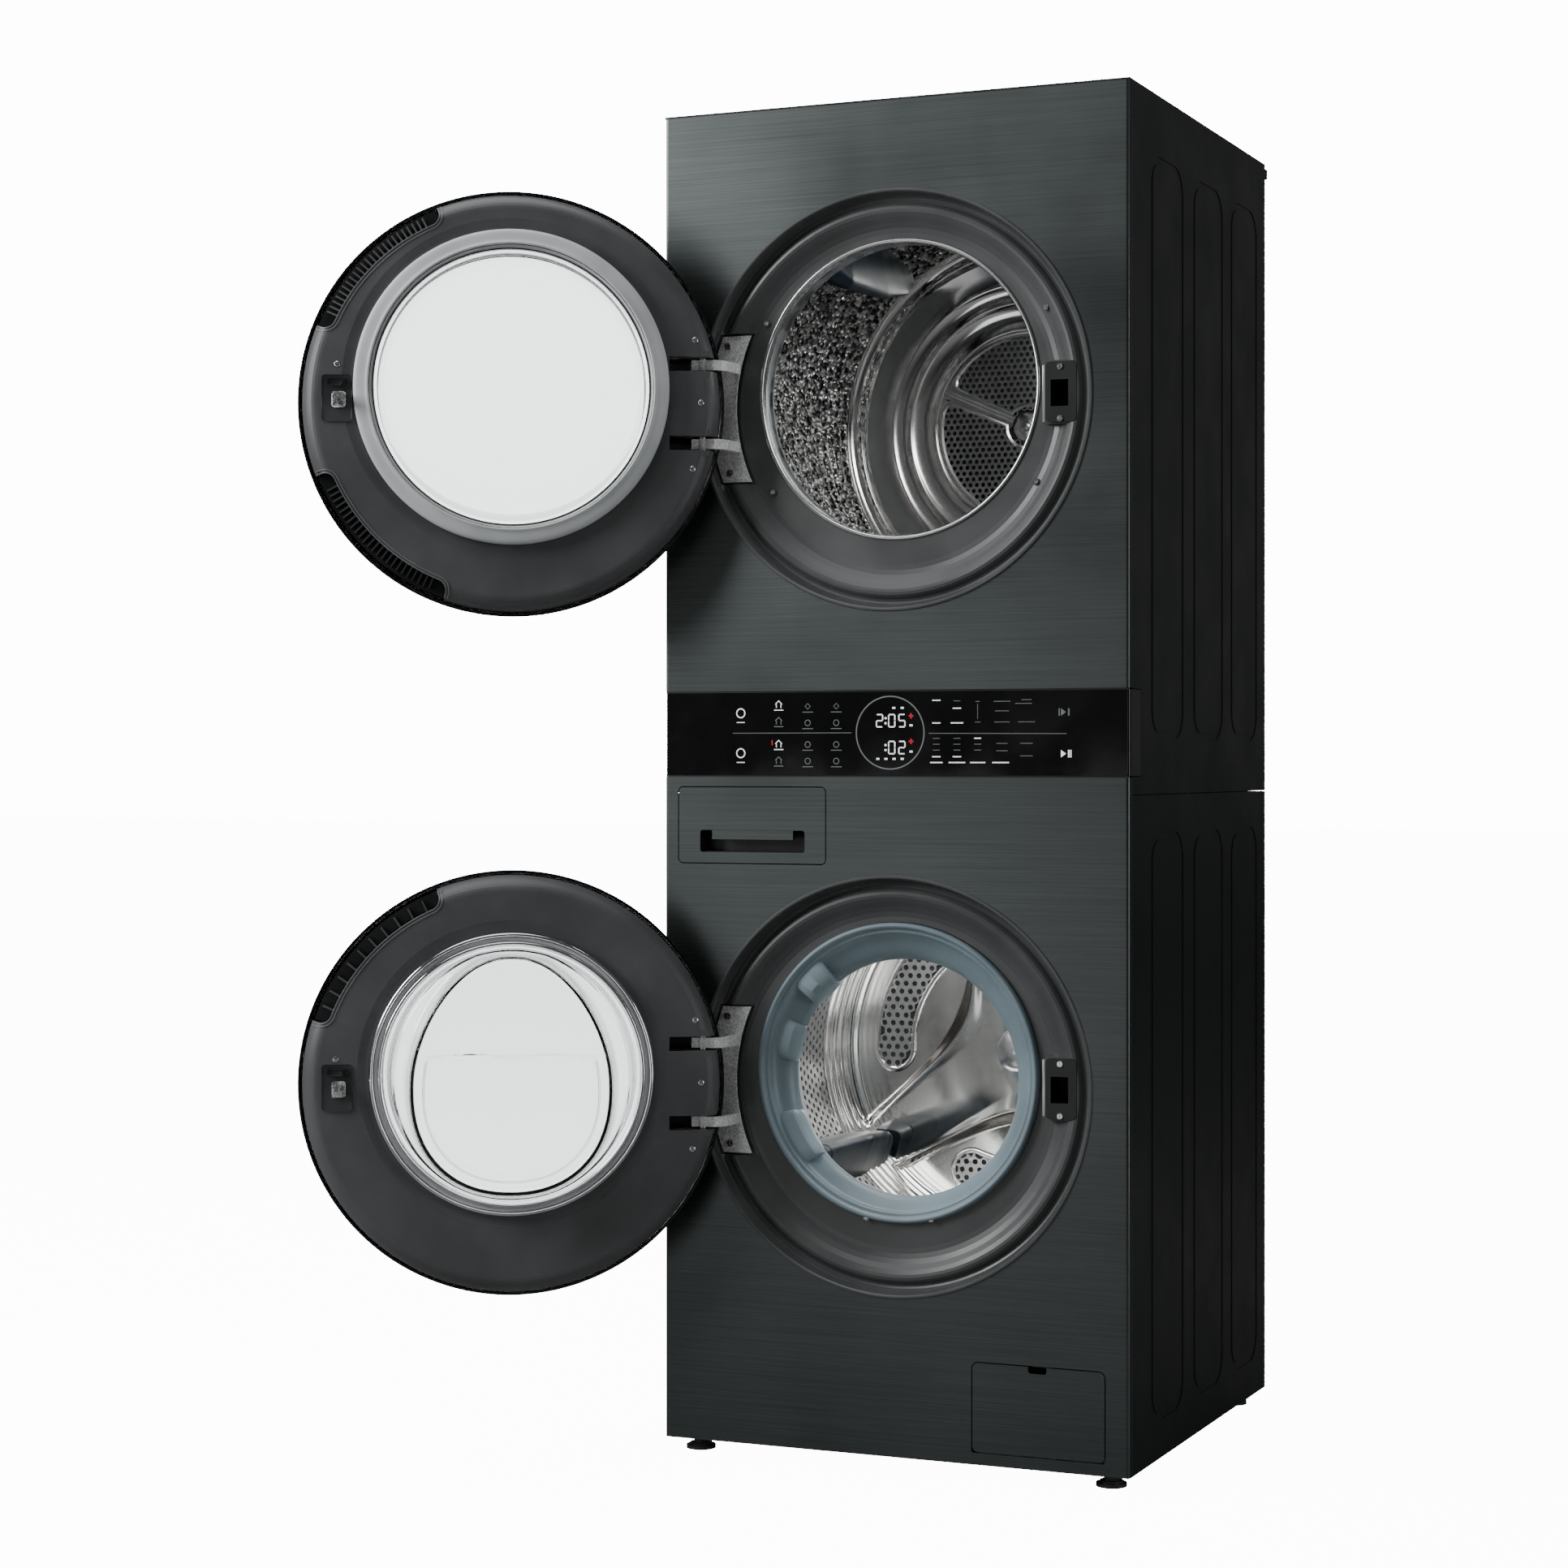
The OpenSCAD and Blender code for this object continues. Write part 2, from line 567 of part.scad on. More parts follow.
// Lint filter: a frame with a mesh pocket and a pull tab, slid down into the bulkhead's neck.
module lint_filter() color("#c6c9c8") difference() {
    union() {
        block(-112, 112, front_y + 42, front_y + 60, lint_z0, 1290);
        block(-113, 113, front_y + 41.5, front_y + 60.5, 1278, 1290);
    }
    for (i = [-5 : 4]) block(i * 21 + 3, i * 21 + 18, front_y + 40, front_y + 62, lint_z0 + 8, 1268);
    for (i = [-13 : 12]) block(i * 8 + 1.5, i * 8 + 6, front_y + 40, front_y + 62, 1280, 1287);
}

// Dryer rear bulkhead with the heater channel and the drum's rear bearing.
module dryer_rear_bulkhead() color("#8f9494") difference() {
    union() {
        block(-half_w + 16, half_w - 16, drum_y1 + 24, drum_y1 + 26, dryer_axis_z - 330, dryer_axis_z + 360);
        ring(0, dryer_axis_z, drum_y1 + 14, 42, 30, 10 + running);
        difference() {
            block(-150, 150, drum_y1 + 25, drum_y1 + 70, dryer_axis_z - 200, dryer_axis_z + 200);
            block(-147, 147, drum_y1 + 20, drum_y1 + 67, dryer_axis_z - 197, dryer_axis_z + 197);
        }
        for (i = [-3 : 3]) block(-140, 140, drum_y1 + 44, drum_y1 + 48, dryer_axis_z + i * 45 - 3,
            dryer_axis_z + i * 45 + 3);
    }
    disc(0, dryer_axis_z, drum_y1 + 10, 70, 10 + running);
    for (a = [0 : 30 : 330]) along_y(0, dryer_axis_z, drum_y1 + 20) rotate([0, 0, a])
        translate([100, 0, 0]) cylinder(r = 18, h = 10);
}

// Fan housing, lint duct and the round exhaust stub that leaves through the rear panel.
exhaust_r = 50;
fan_y = front_y + 200;
fan_len = 70;
fan_case_r = 84;

module blower_duct() color("#a7acac") difference() {
    union() {
        disc(motor_x, motor_z, fan_y, fan_len, fan_case_r);
        block(57, 113, front_y + 70.5, fan_y + 1, lint_z0 - 8, lint_z0 + 48);
        block(-50, motor_x - 50, fan_y + 10, fan_y + fan_len, exhaust_z - 48, exhaust_z + 48);
        disc(0, exhaust_z, fan_y + fan_len - 2, rear_y + 62 - fan_y - fan_len + 2, exhaust_r);
        disc(0, exhaust_z, rear_y + 0.5, 3.5, exhaust_r + 7);
    }
    disc(motor_x, motor_z, fan_y + 3, fan_len - 6, fan_case_r - 3);
    block(60, 110, front_y + 60, fan_y + 10, lint_z0 - 5, lint_z0 + 45);
    block(-47, motor_x - 45, fan_y + 13, fan_y + fan_len - 3, exhaust_z - 45, exhaust_z + 45);
    disc(0, exhaust_z, fan_y + fan_len - 10, cab_d, exhaust_r - 2);
    disc(motor_x, motor_z, fan_y + 10, fan_len, 8);
}

module dryer_motor() color("#6a6f71") difference() {
    union() {
        disc(motor_x, motor_z, fan_y + 84, 115, 52);
        disc(motor_x, motor_z, fan_y + 198, 10, 22);
        block(motor_x - 55, motor_x + 55, fan_y + 90, fan_y + 190, split_z + 21, motor_z - 30);
    }
    disc(motor_x, motor_z, fan_y + 60, 200, 6 + running);
}

module motor_pulley_fan() color("#c4c8c8") {
    disc(motor_x, motor_z, fan_y + 12, belt_y + 16 - fan_y, 6);
    disc(motor_x, motor_z, belt_y - belt_w / 2 - 1, belt_w + 2, pulley_r);
    disc(motor_x, motor_z, fan_y + 50, 3, 70);
    ring(motor_x, motor_z, fan_y + 14, 3, 70, 50);
    for (a = [0 : 30 : 330]) along_y(motor_x, motor_z, fan_y + 14) rotate([0, 0, a])
        translate([48, -1.5, 0]) cube([21, 3, 38]);
}

// Flat belt: round the drum, straight down both sides and round the motor pulley.
belt_t = 1.6;
belt_gap = 0.4;
belt_ro = drum_outer_r + belt_gap;
belt_ri = pulley_r + belt_gap;
span = norm([motor_x, motor_z - dryer_axis_z]);
span_angle = atan2(-(motor_z - dryer_axis_z), motor_x);
lean = acos((belt_ro - belt_ri) / span);

module belt_outline(t) {
    circle(belt_ro + t);
    translate([motor_x, dryer_axis_z - motor_z]) circle(belt_ri + t);
    polygon([for (p = [[0, 1, 0], [1, 1, 1], [1, -1, 1], [0, -1, 0]])
        let (a = span_angle + p[1] * lean, r = (p[2] == 1 ? belt_ri : belt_ro) + t)
        [p[0] * motor_x + r * cos(a), p[0] * (dryer_axis_z - motor_z) + r * sin(a)]]);
}

module drive_belt() color("#1c1c1c") along_y(0, dryer_axis_z, belt_y - belt_w / 2) linear_extrude(belt_w)
    difference() {
        belt_outline(belt_t);
        belt_outline(0);
    }

module terminal_cover() color("#565b5d") {
    block(terminal[0], terminal[1], rear_y + 0.2, rear_y + 22, terminal[2], terminal[3]);
    disc(terminal[0] + 50, terminal[2] + 14, rear_y + 22, 4, 8);
}

// Visible screws: two on each hinge bracket and latch receiver, and the small ones of the dryer's bezel.
module screw(x, z, y, r, shank) {
    difference() {
        disc(x, z, y - 2, 2, r);
        block(x - r, x + r, y - 3, y - 1.2, z - 0.5, z + 0.5);
        block(x - 0.5, x + 0.5, y - 3, y - 1.2, z - r, z + r);
    }
    disc(x, z, y - 0.5, shank + 0.5, 1.7);
}

module panel_screws() color("#cfd2d2") {
    for (zc = [dryer_z, washer_z], p = bracket_screws) screw(p[0], zc + p[1], front_y + 19, 5, 2.5);
    for (zl = [dryer_z, washer_z + washer_latch_up], p = latch_screws)
        screw(p[0], zl + p[1], front_y + 12, 4, 2.5);
    for (p = bezel_screws) screw(p[0], dryer_z + p[1], front_y + p[2], 3.2, -0.4);
}

// The doors are drawn closed here and swung open about the hinge pins.
module swung() translate([hinge_x, hinge_y, 0]) rotate([0, 0, -door_open])
    translate([-hinge_x, -hinge_y, 0]) children();

// Finger grip: a notch in the door's rim between two angles, with round inner corners.
grip_r = 266;
grip_corner = 15;

module grip_cut(zc, a0, a1) along_y(0, zc, door_mid_y - 1) {
    mid_r = grip_r + grip_corner;
    turn = asin(grip_corner / mid_r);
    deep = door_in_y - door_mid_y + 3;
    rotate([0, 0, turn - a1]) rotate_extrude(angle = a1 - a0 - 2 * turn)
        translate([grip_r, 0]) square([40, deep]);
    rotate([0, 0, -a1]) rotate_extrude(angle = a1 - a0) translate([mid_r, 0]) square([25, deep]);
    for (a = [a0 + turn, a1 - turn]) rotate([0, 0, -a]) translate([mid_r, 0, 0])
        cylinder(r = grip_corner, h = deep);
}

// Door frame's section: a flat face with a wide round shoulder, hollow from the cover's side.
frame_t = door_in_y - door_mid_y;
shoulder_r = 268;
frame_solid = concat([[0, 0], [0, frame_t]],
    [for (a = [90 : -10 : 0])
        [shoulder_r + (frame_r - shoulder_r) * cos(a), 2 + (frame_t - 2) * sin(a)]],
    [[frame_r, 0]]);

function frame_hollow(r) = concat([[r, -1], [r, frame_t - 4]],
    [for (a = [90 : -10 : 0])
        [shoulder_r - 2 + (frame_r - shoulder_r - 1) * cos(a), 1 + (frame_t - 5) * sin(a)]],
    [[frame_r - 3, -1]]);

module frame_body(zc) along_y(0, zc, door_mid_y) rotate_extrude() polygon(frame_solid);

module door_frame(zc, window_r, window_up, moat_r, grips, hook_z) color("#33373a") swung() difference() {
    union() {
        difference() {
            frame_body(zc);
            along_y(0, zc, door_mid_y) rotate_extrude() polygon(frame_hollow(window_r + 24));
        }
        for (s = [-1, 1], e = [-1, 1]) {
            z = zc + s * arm_z + e * 14;
            block(hinge_x - 8, hinge_x + 24, door_mid_y, door_in_y - 1, z - 4, z + 4);
        }
        intersection() {
            frame_body(zc);
            for (s = [-1, 1])
                block(-290, -214, door_mid_y, door_in_y, zc + s * arm_z - 13, zc + s * arm_z + 13);
        }
        for (g = grips) grip_wall(zc, g[0], g[1]);
    }
    disc(0, zc + window_up, door_mid_y - 5, 60, window_r);
    along_y(0, zc + window_up, door_in_y - 2.2) difference() {
        cylinder(r1 = moat_r + 4, r2 = moat_r + 16, h = 2.3);
        translate([0, 0, -1]) cylinder(r = moat_r, h = 5);
    }
    for (s = [-1, 1]) {
        block(-300, -218, door_mid_y - 5, door_in_y + 5, zc + s * arm_z - 10, zc + s * arm_z + 10);
        translate([hinge_x, hinge_y, zc + s * arm_z - 40]) cylinder(r = pin_r + running, h = 80);
    }
    for (g = grips) grip_cut(zc, g[0], g[1]);
    block(222, 252, door_in_y - 12, door_in_y + 5, hook_z - 14, hook_z + 18);
}

// Wall round a finger grip, which closes the hollow frame beside it.
module grip_wall(zc, a0, a1) intersection() {
    frame_body(zc);
    along_y(0, zc, door_mid_y) rotate([0, 0, -a1 - 0.7]) rotate_extrude(angle = a1 - a0 + 1.4)
        translate([grip_r - 3, 0]) square([40, door_in_y - door_mid_y]);
}

// Door cover: a shallow dish with a round rim, flat across its face.
rim_drop = 7;
cover_edge = 20;
cover_face = [for (a = [0 : 10 : 90])
    [door_r - cover_edge * (1 - cos(a)), rim_drop + (26 - rim_drop) * sin(a)]];

module door_cover(zc, window_r) color("#121415") swung() difference() {
    along_y(0, zc, door_mid_y) mirror([0, 0, 1]) rotate_extrude() polygon(concat(
        [[0, 26.5], [0, 30], [180, 29], [door_r - cover_edge - 30, 27.6]],
        [for (i = [len(cover_face) - 1 : -1 : 0]) cover_face[i]],
        [[door_r, 0.3], [door_r - 3, 0.3], [door_r - 3, rim_drop], [door_r - 9, 17], [door_r - 22, 22.5],
            [door_r - 50, 24.2], [180, 25.5]]));
}

dryer_window_r = 190;
washer_window_r = 176;

dryer_hook_z = dryer_z;
washer_hook_z = washer_z - washer_hook_down;

module dryer_door_frame()
    door_frame(dryer_z, dryer_window_r + 6, 20, 218.5, [[21, 69], [-71, -21]], dryer_hook_z);
module washer_door_frame() door_frame(washer_z, washer_window_r + 6, 15, 197.5, [[18, 69]], washer_hook_z);
module dryer_door_cover() door_cover(dryer_z, 190);
module washer_door_cover() door_cover(washer_z, 180);

// Raised ring round the dryer's window, with the seal that meets the bezel's flat.
module dryer_door_ring() color("#b4b9bb") swung() along_y(0, dryer_z + 20, door_in_y) rotate_extrude()
    polygon([
        [218, 0.2], [218, 28], [215, 34], [209, 36.5], [202, 35], [197, 28], [193, 24], [190, 20],
        [190, -20], [193, -20], [193, 0.2],
    ]);

module dryer_door_glass() color("#dfe6e8", 0.4) swung() along_y(0, dryer_z + 20, door_in_y) rotate_extrude()
    polygon([
        [189.7, 10], [189.7, 15], [178, 20], [150, 24], [90, 27], [0, 28], [0, 23], [90, 22], [150, 19],
        [176, 15], [182, 10],
    ]);

module washer_door_ring() color("#c8cccd") swung() along_y(0, washer_z + 15, door_in_y) rotate_extrude()
    polygon([
        [197, 0.2], [197, 6], [194, 11], [189, 13], [184, 11], [180, 12], [176, 9], [176, -24], [179, -24],
        [179, 0.2],
    ]);

// Clear bowl that reaches into the drum's mouth.
module washer_door_bowl() color("#dfe6e8", 0.4) swung() along_y(0, washer_z + 15, door_in_y)
    rotate_extrude() polygon([
        [175.5, -20], [175.5, 4], [166, 20], [156, 48], [148, 70], [136, 82], [118, 88], [60, 92], [0, 93],
        [0, 88], [60, 87], [115, 83], [131, 78], [143, 67], [151, 46], [160, 18], [169, 2], [170.5, -20],
    ]);

// Strike: a plate on the door's face and the hook that goes into the latch receiver.
module strike(hook_z) swung() {
    plate_y(219, 261, hook_z - 24, hook_z + 39, 5, door_in_y, 1.6);
    block(231, 237, door_in_y - 11, door_in_y + 30, hook_z - 8, hook_z + 8);
    block(231, 245, door_in_y + 24, door_in_y + 30, hook_z - 8, hook_z + 8);
}

module dryer_door_strike() color("#dfe1e1") strike(dryer_hook_z);
module washer_door_strike() color("#dfe1e1") strike(washer_hook_z);

// Dryer drum: an open shell with a pressed back and a stub shaft in the rear bearing.
module dryer_drum() color("#aeb2b1") {
    difference() {
        union() {
            ring(0, dryer_axis_z, drum_y0, drum_y1 - drum_y0, dryer_drum_r + 2, dryer_drum_r);
            ring(0, dryer_axis_z, drum_y1 - 14, 14, dryer_drum_r + 2, 221);
            disc(0, dryer_axis_z, drum_y1 - 2, 4, 222);
            ring(0, dryer_axis_z, drum_y1 - 10, 10, 196, 190);
            ring(0, dryer_axis_z, drum_y1 - 8, 8, 153, 148);
        }
        for (r = [60 : 22 : 126], i = [0 : round(r / 4)])
            along_y(0, dryer_axis_z, drum_y1 - 6) rotate([0, 0, i * 360 / (round(r / 4) + 1)])
                translate([r, 0, 0]) cylinder(r = 4, h = 12, $fn = 16);
    }
    disc(0, dryer_axis_z, drum_y1 + 1, 50, 10);
    disc(0, dryer_axis_z, drum_y1 - 8, 8, 26);
}

lifter_count = 3;

module lifters(zc, y0, y1, r, h, w, first) for (i = [0 : lifter_count - 1])
    along_y(0, zc, y0) rotate([0, 0, first + i * 360 / lifter_count])
        linear_extrude(y1 - y0) intersection() {
            difference() {
                circle(r - 0.3);
                circle(r - h);
            }
            polygon([[r - h - 8, -w * 0.22], [r - h - 8, w * 0.22], [r + 10, w * 0.5], [r + 10, -w * 0.5]]);
        }

module dryer_drum_lifters() color("#1d262c")
    lifters(dryer_axis_z, drum_y0 + 30, drum_y1 - 40, dryer_drum_r, 62, 74, -115);

// Wash drum: perforated shell with a front lip and a stiff back.
wash_y0 = front_y + 122;
wash_y1 = front_y + hub_y + 14;

module wash_drum() color("#b9bdbc") difference() {
    union() {
        ring(0, wash_axis_z, wash_y0, wash_y1 - wash_y0, wash_drum_r + 1.5, wash_drum_r);
        ring(0, wash_axis_z, wash_y0, 2, wash_drum_r + 1, 190);
        ring(0, wash_axis_z, wash_y0 - 6, 10, 193, 190);
    }
    for (i = [0 : 35], j = [0 : 4]) along_y(0, wash_axis_z, wash_y0 + 60 + j * 62)
        rotate([0, 0, i * 10 + j * 5]) rotate([0, 90, 0]) translate([0, 0, wash_drum_r - 5])
            cylinder(r = 3, h = 12, $fn = 16);
}

// Pressed back of the wash drum: three raised legs that meet at the hub's cap.
module wash_drum_back() color("#b9bdbc") {
    disc(0, wash_axis_z, wash_y1 - 1.9, 1.9, wash_drum_r - 0.1);
    disc(0, wash_axis_z, wash_y1 - 14, 13, 34);
    along_y(0, wash_axis_z, wash_y1 - 11) linear_extrude(10) for (a = [25, 145, 265])
        rotate(a) polygon([
            [0, -72], [90, -52], [160, -44], [236, -40], [236, 40], [160, 44], [90, 52], [0, 72],
        ]);
}

module wash_drum_lifters() color("#33393d")
    lifters(wash_axis_z, wash_y0 + 40, wash_y1 - 30, wash_drum_r, 58, 80, 25);

// Cast spider on the drum's back, the shaft in the tub's bearing and the motor's rotor pan.
module drum_drive_rotor() color("#8a8f91") {
    for (a = [30, 150, 270]) along_y(0, wash_axis_z, wash_y1) rotate([0, 0, a])
        translate([40, -14, 0]) cube([222, 28, 12]);
    disc(0, wash_axis_z, wash_y1, 13, 50);
    disc(0, wash_axis_z, wash_y1 + 3, 107, 15);
    disc(0, wash_axis_z, front_y + tub_back + 42, 3, 142);
    ring(0, wash_axis_z, front_y + tub_back + 14, 29, 142, 138);
}

base_frame();
lower_side_left();
lower_side_right();
upper_side_left();
upper_side_right();
rear_panel_lower();
rear_panel_upper();
top_plate();
mid_deck();
upper_front_panel();
lower_front_panel();
control_housing();
control_glass();
dryer_bezel();
washer_bezel();
hinge_brackets();
hinge_pins();
latch_receivers();
door_gasket();
tub_front_cover();
wash_tub();
tub_counterweight();
tub_suspension();
motor_stator();
drain_pump_body();
detergent_housing();
inlet_valves();
drain_outlet();
dryer_front_bulkhead();
dryer_rear_bulkhead();
blower_duct();
dryer_motor();
drive_belt();
terminal_cover();
panel_screws();
dryer_door_frame();
dryer_door_cover();
dryer_door_ring();
dryer_door_glass();
dryer_door_strike();
washer_door_frame();
washer_door_cover();
washer_door_ring();
washer_door_bowl();
washer_door_strike();
dryer_drum();
dryer_drum_lifters();
wash_drum();
wash_drum_back();
wash_drum_lifters();
drum_drive_rotor();
motor_pulley_fan();
detergent_drawer();
pump_cover();
pump_filter();
lint_filter();
foot_front_left();
foot_front_right();
foot_rear_left();
foot_rear_right();
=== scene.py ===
import json
import random
from math import asin, atan2, cos, floor, hypot, pi, radians, sin, sqrt

import bmesh
import bpy
from mathutils import Matrix, Vector


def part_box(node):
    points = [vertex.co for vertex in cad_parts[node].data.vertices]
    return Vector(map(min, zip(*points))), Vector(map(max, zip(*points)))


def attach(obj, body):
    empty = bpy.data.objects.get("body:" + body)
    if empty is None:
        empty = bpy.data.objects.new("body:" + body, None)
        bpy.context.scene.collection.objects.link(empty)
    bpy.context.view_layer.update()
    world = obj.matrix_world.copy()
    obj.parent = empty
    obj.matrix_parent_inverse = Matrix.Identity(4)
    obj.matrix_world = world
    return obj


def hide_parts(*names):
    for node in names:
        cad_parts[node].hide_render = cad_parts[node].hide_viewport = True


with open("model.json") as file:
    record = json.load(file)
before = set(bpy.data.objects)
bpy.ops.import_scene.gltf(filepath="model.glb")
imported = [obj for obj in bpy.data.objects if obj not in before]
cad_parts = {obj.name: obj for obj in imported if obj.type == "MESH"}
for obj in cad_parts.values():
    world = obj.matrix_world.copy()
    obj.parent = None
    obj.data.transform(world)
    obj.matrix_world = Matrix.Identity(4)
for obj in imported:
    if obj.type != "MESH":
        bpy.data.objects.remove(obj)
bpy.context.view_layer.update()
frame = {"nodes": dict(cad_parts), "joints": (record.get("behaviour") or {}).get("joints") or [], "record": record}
JOINTS = {j["name"]: j for j in frame["joints"]}
MM = 0.001

# ---- camera
FRONT_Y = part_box("upper_front_panel")[0].y
CAMERA_AT = (1.6277, -4.4592, 0.9793)
CAMERA_TURN = radians(23.476)


def make_camera():
    data = bpy.data.cameras.new("camera")
    data.lens = 73.84
    data.sensor_width = 36.0
    data.shift_y = -0.0157
    data.clip_end = 60.0
    camera = bpy.data.objects.new("camera", data)
    camera.location = CAMERA_AT
    camera.rotation_euler = (radians(90), 0, CAMERA_TURN)
    bpy.context.scene.collection.objects.link(camera)
    bpy.context.scene.camera = camera


make_camera()


# ---- materials
def combine(tree, operation, *values):
    """The result of a math node on numbers and outputs of other nodes."""
    made = tree.nodes.new("ShaderNodeMath")
    made.operation = operation
    for value, socket in zip(values, made.inputs):
        if isinstance(value, (int, float)):
            socket.default_value = value
        else:
            tree.links.new(value, socket)
    return made.outputs[0]


class Paint:
    """A procedural material on one Principled shader, with helpers for its nodes."""

    def __init__(self, name, color, rough=0.5, metallic=0.0, **sockets):
        self.material = bpy.data.materials.new(name)
        self.material.use_nodes = True
        self.tree = self.material.node_tree
        self.shader = self.tree.nodes["Principled BSDF"]
        self.shader.inputs["Base Color"].default_value = (*color, 1)
        self.shader.inputs["Roughness"].default_value = rough
        self.shader.inputs["Metallic"].default_value = metallic
        for socket, value in sockets.items():
            self.shader.inputs[socket.replace("_", " ")].default_value = value
        self.color = color
        self.height = None

    def node(self, kind, **inputs):
        made = self.tree.nodes.new(kind)
        for key, value in inputs.items():
            made.inputs[key].default_value = value
        return made

    def link(self, a, b):
        self.tree.links.new(a, b)

    def place(self, scale):
        """Object coordinates stretched by scale, so that 1 is a metre."""
        coords = self.node("ShaderNodeTexCoord")
        mapping = self.node("ShaderNodeMapping", Scale=scale)
        self.link(coords.outputs["Object"], mapping.inputs["Vector"])
        return mapping.outputs["Vector"]

    def noise(self, scale, stretch=(1, 1, 1), detail=4.0, roughness=0.5):
        made = self.node("ShaderNodeTexNoise", Scale=scale, Detail=detail, Roughness=roughness)
        self.link(self.place(stretch), made.inputs["Vector"])
        return made.outputs["Fac"]

    def cells(self, scale, stretch):
        """The distance output of a cell pattern, and the outputs of its random shades."""
        made = self.node("ShaderNodeTexVoronoi", Scale=scale)
        self.link(self.place(stretch), made.inputs["Vector"])
        split = self.node("ShaderNodeSeparateColor")
        self.link(made.outputs["Color"], split.inputs["Color"])
        return made.outputs["Distance"], split.outputs

    def spread(self, fac, low, high, a=0.35, b=0.65):
        made = self.node("ShaderNodeMapRange")
        for key, value in (("From Min", a), ("From Max", b), ("To Min", low), ("To Max", high)):
            made.inputs[key].default_value = value
        self.link(fac, made.inputs["Value"])
        return made.outputs["Result"]

    def mix(self, fac, a, b):
        """Base colour between a and b."""
        made = self.node("ShaderNodeMix")
        made.data_type = "RGBA"
        self.link(fac, made.inputs["Factor"])
        made.inputs["A"].default_value = (*a, 1)
        made.inputs["B"].default_value = (*b, 1)
        self.link(made.outputs["Result"], self.shader.inputs["Base Color"])

    def tint(self, fac, dark, light):
        """Base colour between two shades of its own colour."""
        self.mix(self.spread(fac, 0.0, 1.0), [c * dark for c in self.color],
                 [min(c * light, 1) for c in self.color])

    def gloss(self, fac, low, high):
        self.link(self.spread(fac, low, high), self.shader.inputs["Roughness"])

    def bump(self, fac, strength, distance):
        made = self.node("ShaderNodeBump", Strength=strength, Distance=distance, Height=0.0)
        self.link(fac, made.inputs["Height"])
        if self.height is not None:
            self.link(self.height, made.inputs["Normal"])
        self.height = made.outputs["Normal"]
        self.link(self.height, self.shader.inputs["Normal"])


def moulded(name, color, rough, grain=900, depth=0.25, **sockets):
    """Moulded plastic or rubber: a fine pebble grain with faint cloudy colour."""
    paint = Paint(name, color, rough, **sockets)
    cloud = paint.noise(9, detail=3)
    fine = paint.noise(grain, detail=2)
    paint.tint(cloud, 0.88, 1.12)
    paint.gloss(cloud, rough - 0.05, rough + 0.06)
    paint.bump(fine, depth, 0.0001)
    return paint.material


def brushed(name, color, rough, along="x", metallic=1.0, strength=0.5, **sockets):
    """Brushed metal: long fine lines along one axis, with slow shading from sheet rolling."""
    stretch = {"x": (1.2, 300, 300), "z": (300, 300, 1.2), "y": (300, 1.2, 300)}[along]
    paint = Paint(name, color, rough, metallic, **sockets)
    lines = paint.noise(3.2, stretch, detail=6, roughness=0.7)
    cloud = paint.noise(3, detail=3)
    paint.tint(lines, 1 - strength * 0.35, 1 + strength * 0.35)
    paint.gloss(cloud, rough - 0.05, rough + 0.07)
    paint.bump(lines, strength * 0.25, 0.00006)
    return paint.material


def sheet_metal(name, color, rough, metallic=1.0, spangle=60):
    """Galvanised or cast metal: spangle in colour and gloss."""
    paint = Paint(name, color, rough, metallic)
    patch = paint.cells(spangle, (1, 1, 1))[1]["Red"]
    paint.tint(patch, 0.82, 1.15)
    paint.gloss(patch, rough - 0.08, rough + 0.1)
    paint.bump(paint.noise(400), 0.15, 0.0001)
    return paint.material


def clear(name, color, rough=0.02):
    """Clear glass: slightly tinted, with faint waviness."""
    paint = Paint(name, color, rough, IOR=1.45, Transmission_Weight=1.0)
    paint.bump(paint.noise(14, detail=2), 0.04, 0.0006)
    return paint.material


def hammered(name, color, rough):
    """Embossed steel: small cells, each with its own shade, and a strong rippled relief."""
    paint = Paint(name, color, rough, 1.0)
    distance, shades = paint.cells(165.0, (1, 0.8, 1))
    paint.tint(shades["Green"], 0.08, 1.25)
    paint.gloss(shades["Blue"], rough - 0.06, rough + 0.14)
    paint.bump(distance, 0.9, 0.003)
    return paint.material


def bowl_glass(name, color):
    """Clear glass that looks deeper where it is seen edge on."""
    paint = Paint(name, color, 0.02, IOR=1.45, Transmission_Weight=1.0)
    edge = paint.node("ShaderNodeLayerWeight", Blend=0.45)
    waves = paint.noise(14, detail=2)
    deeper = combine(paint.tree, "MULTIPLY", edge.outputs["Facing"], paint.spread(waves, 0.9, 1.1))
    paint.mix(deeper, color, [c * 0.12 for c in color])
    paint.bump(waves, 0.04, 0.0006)
    return paint.material


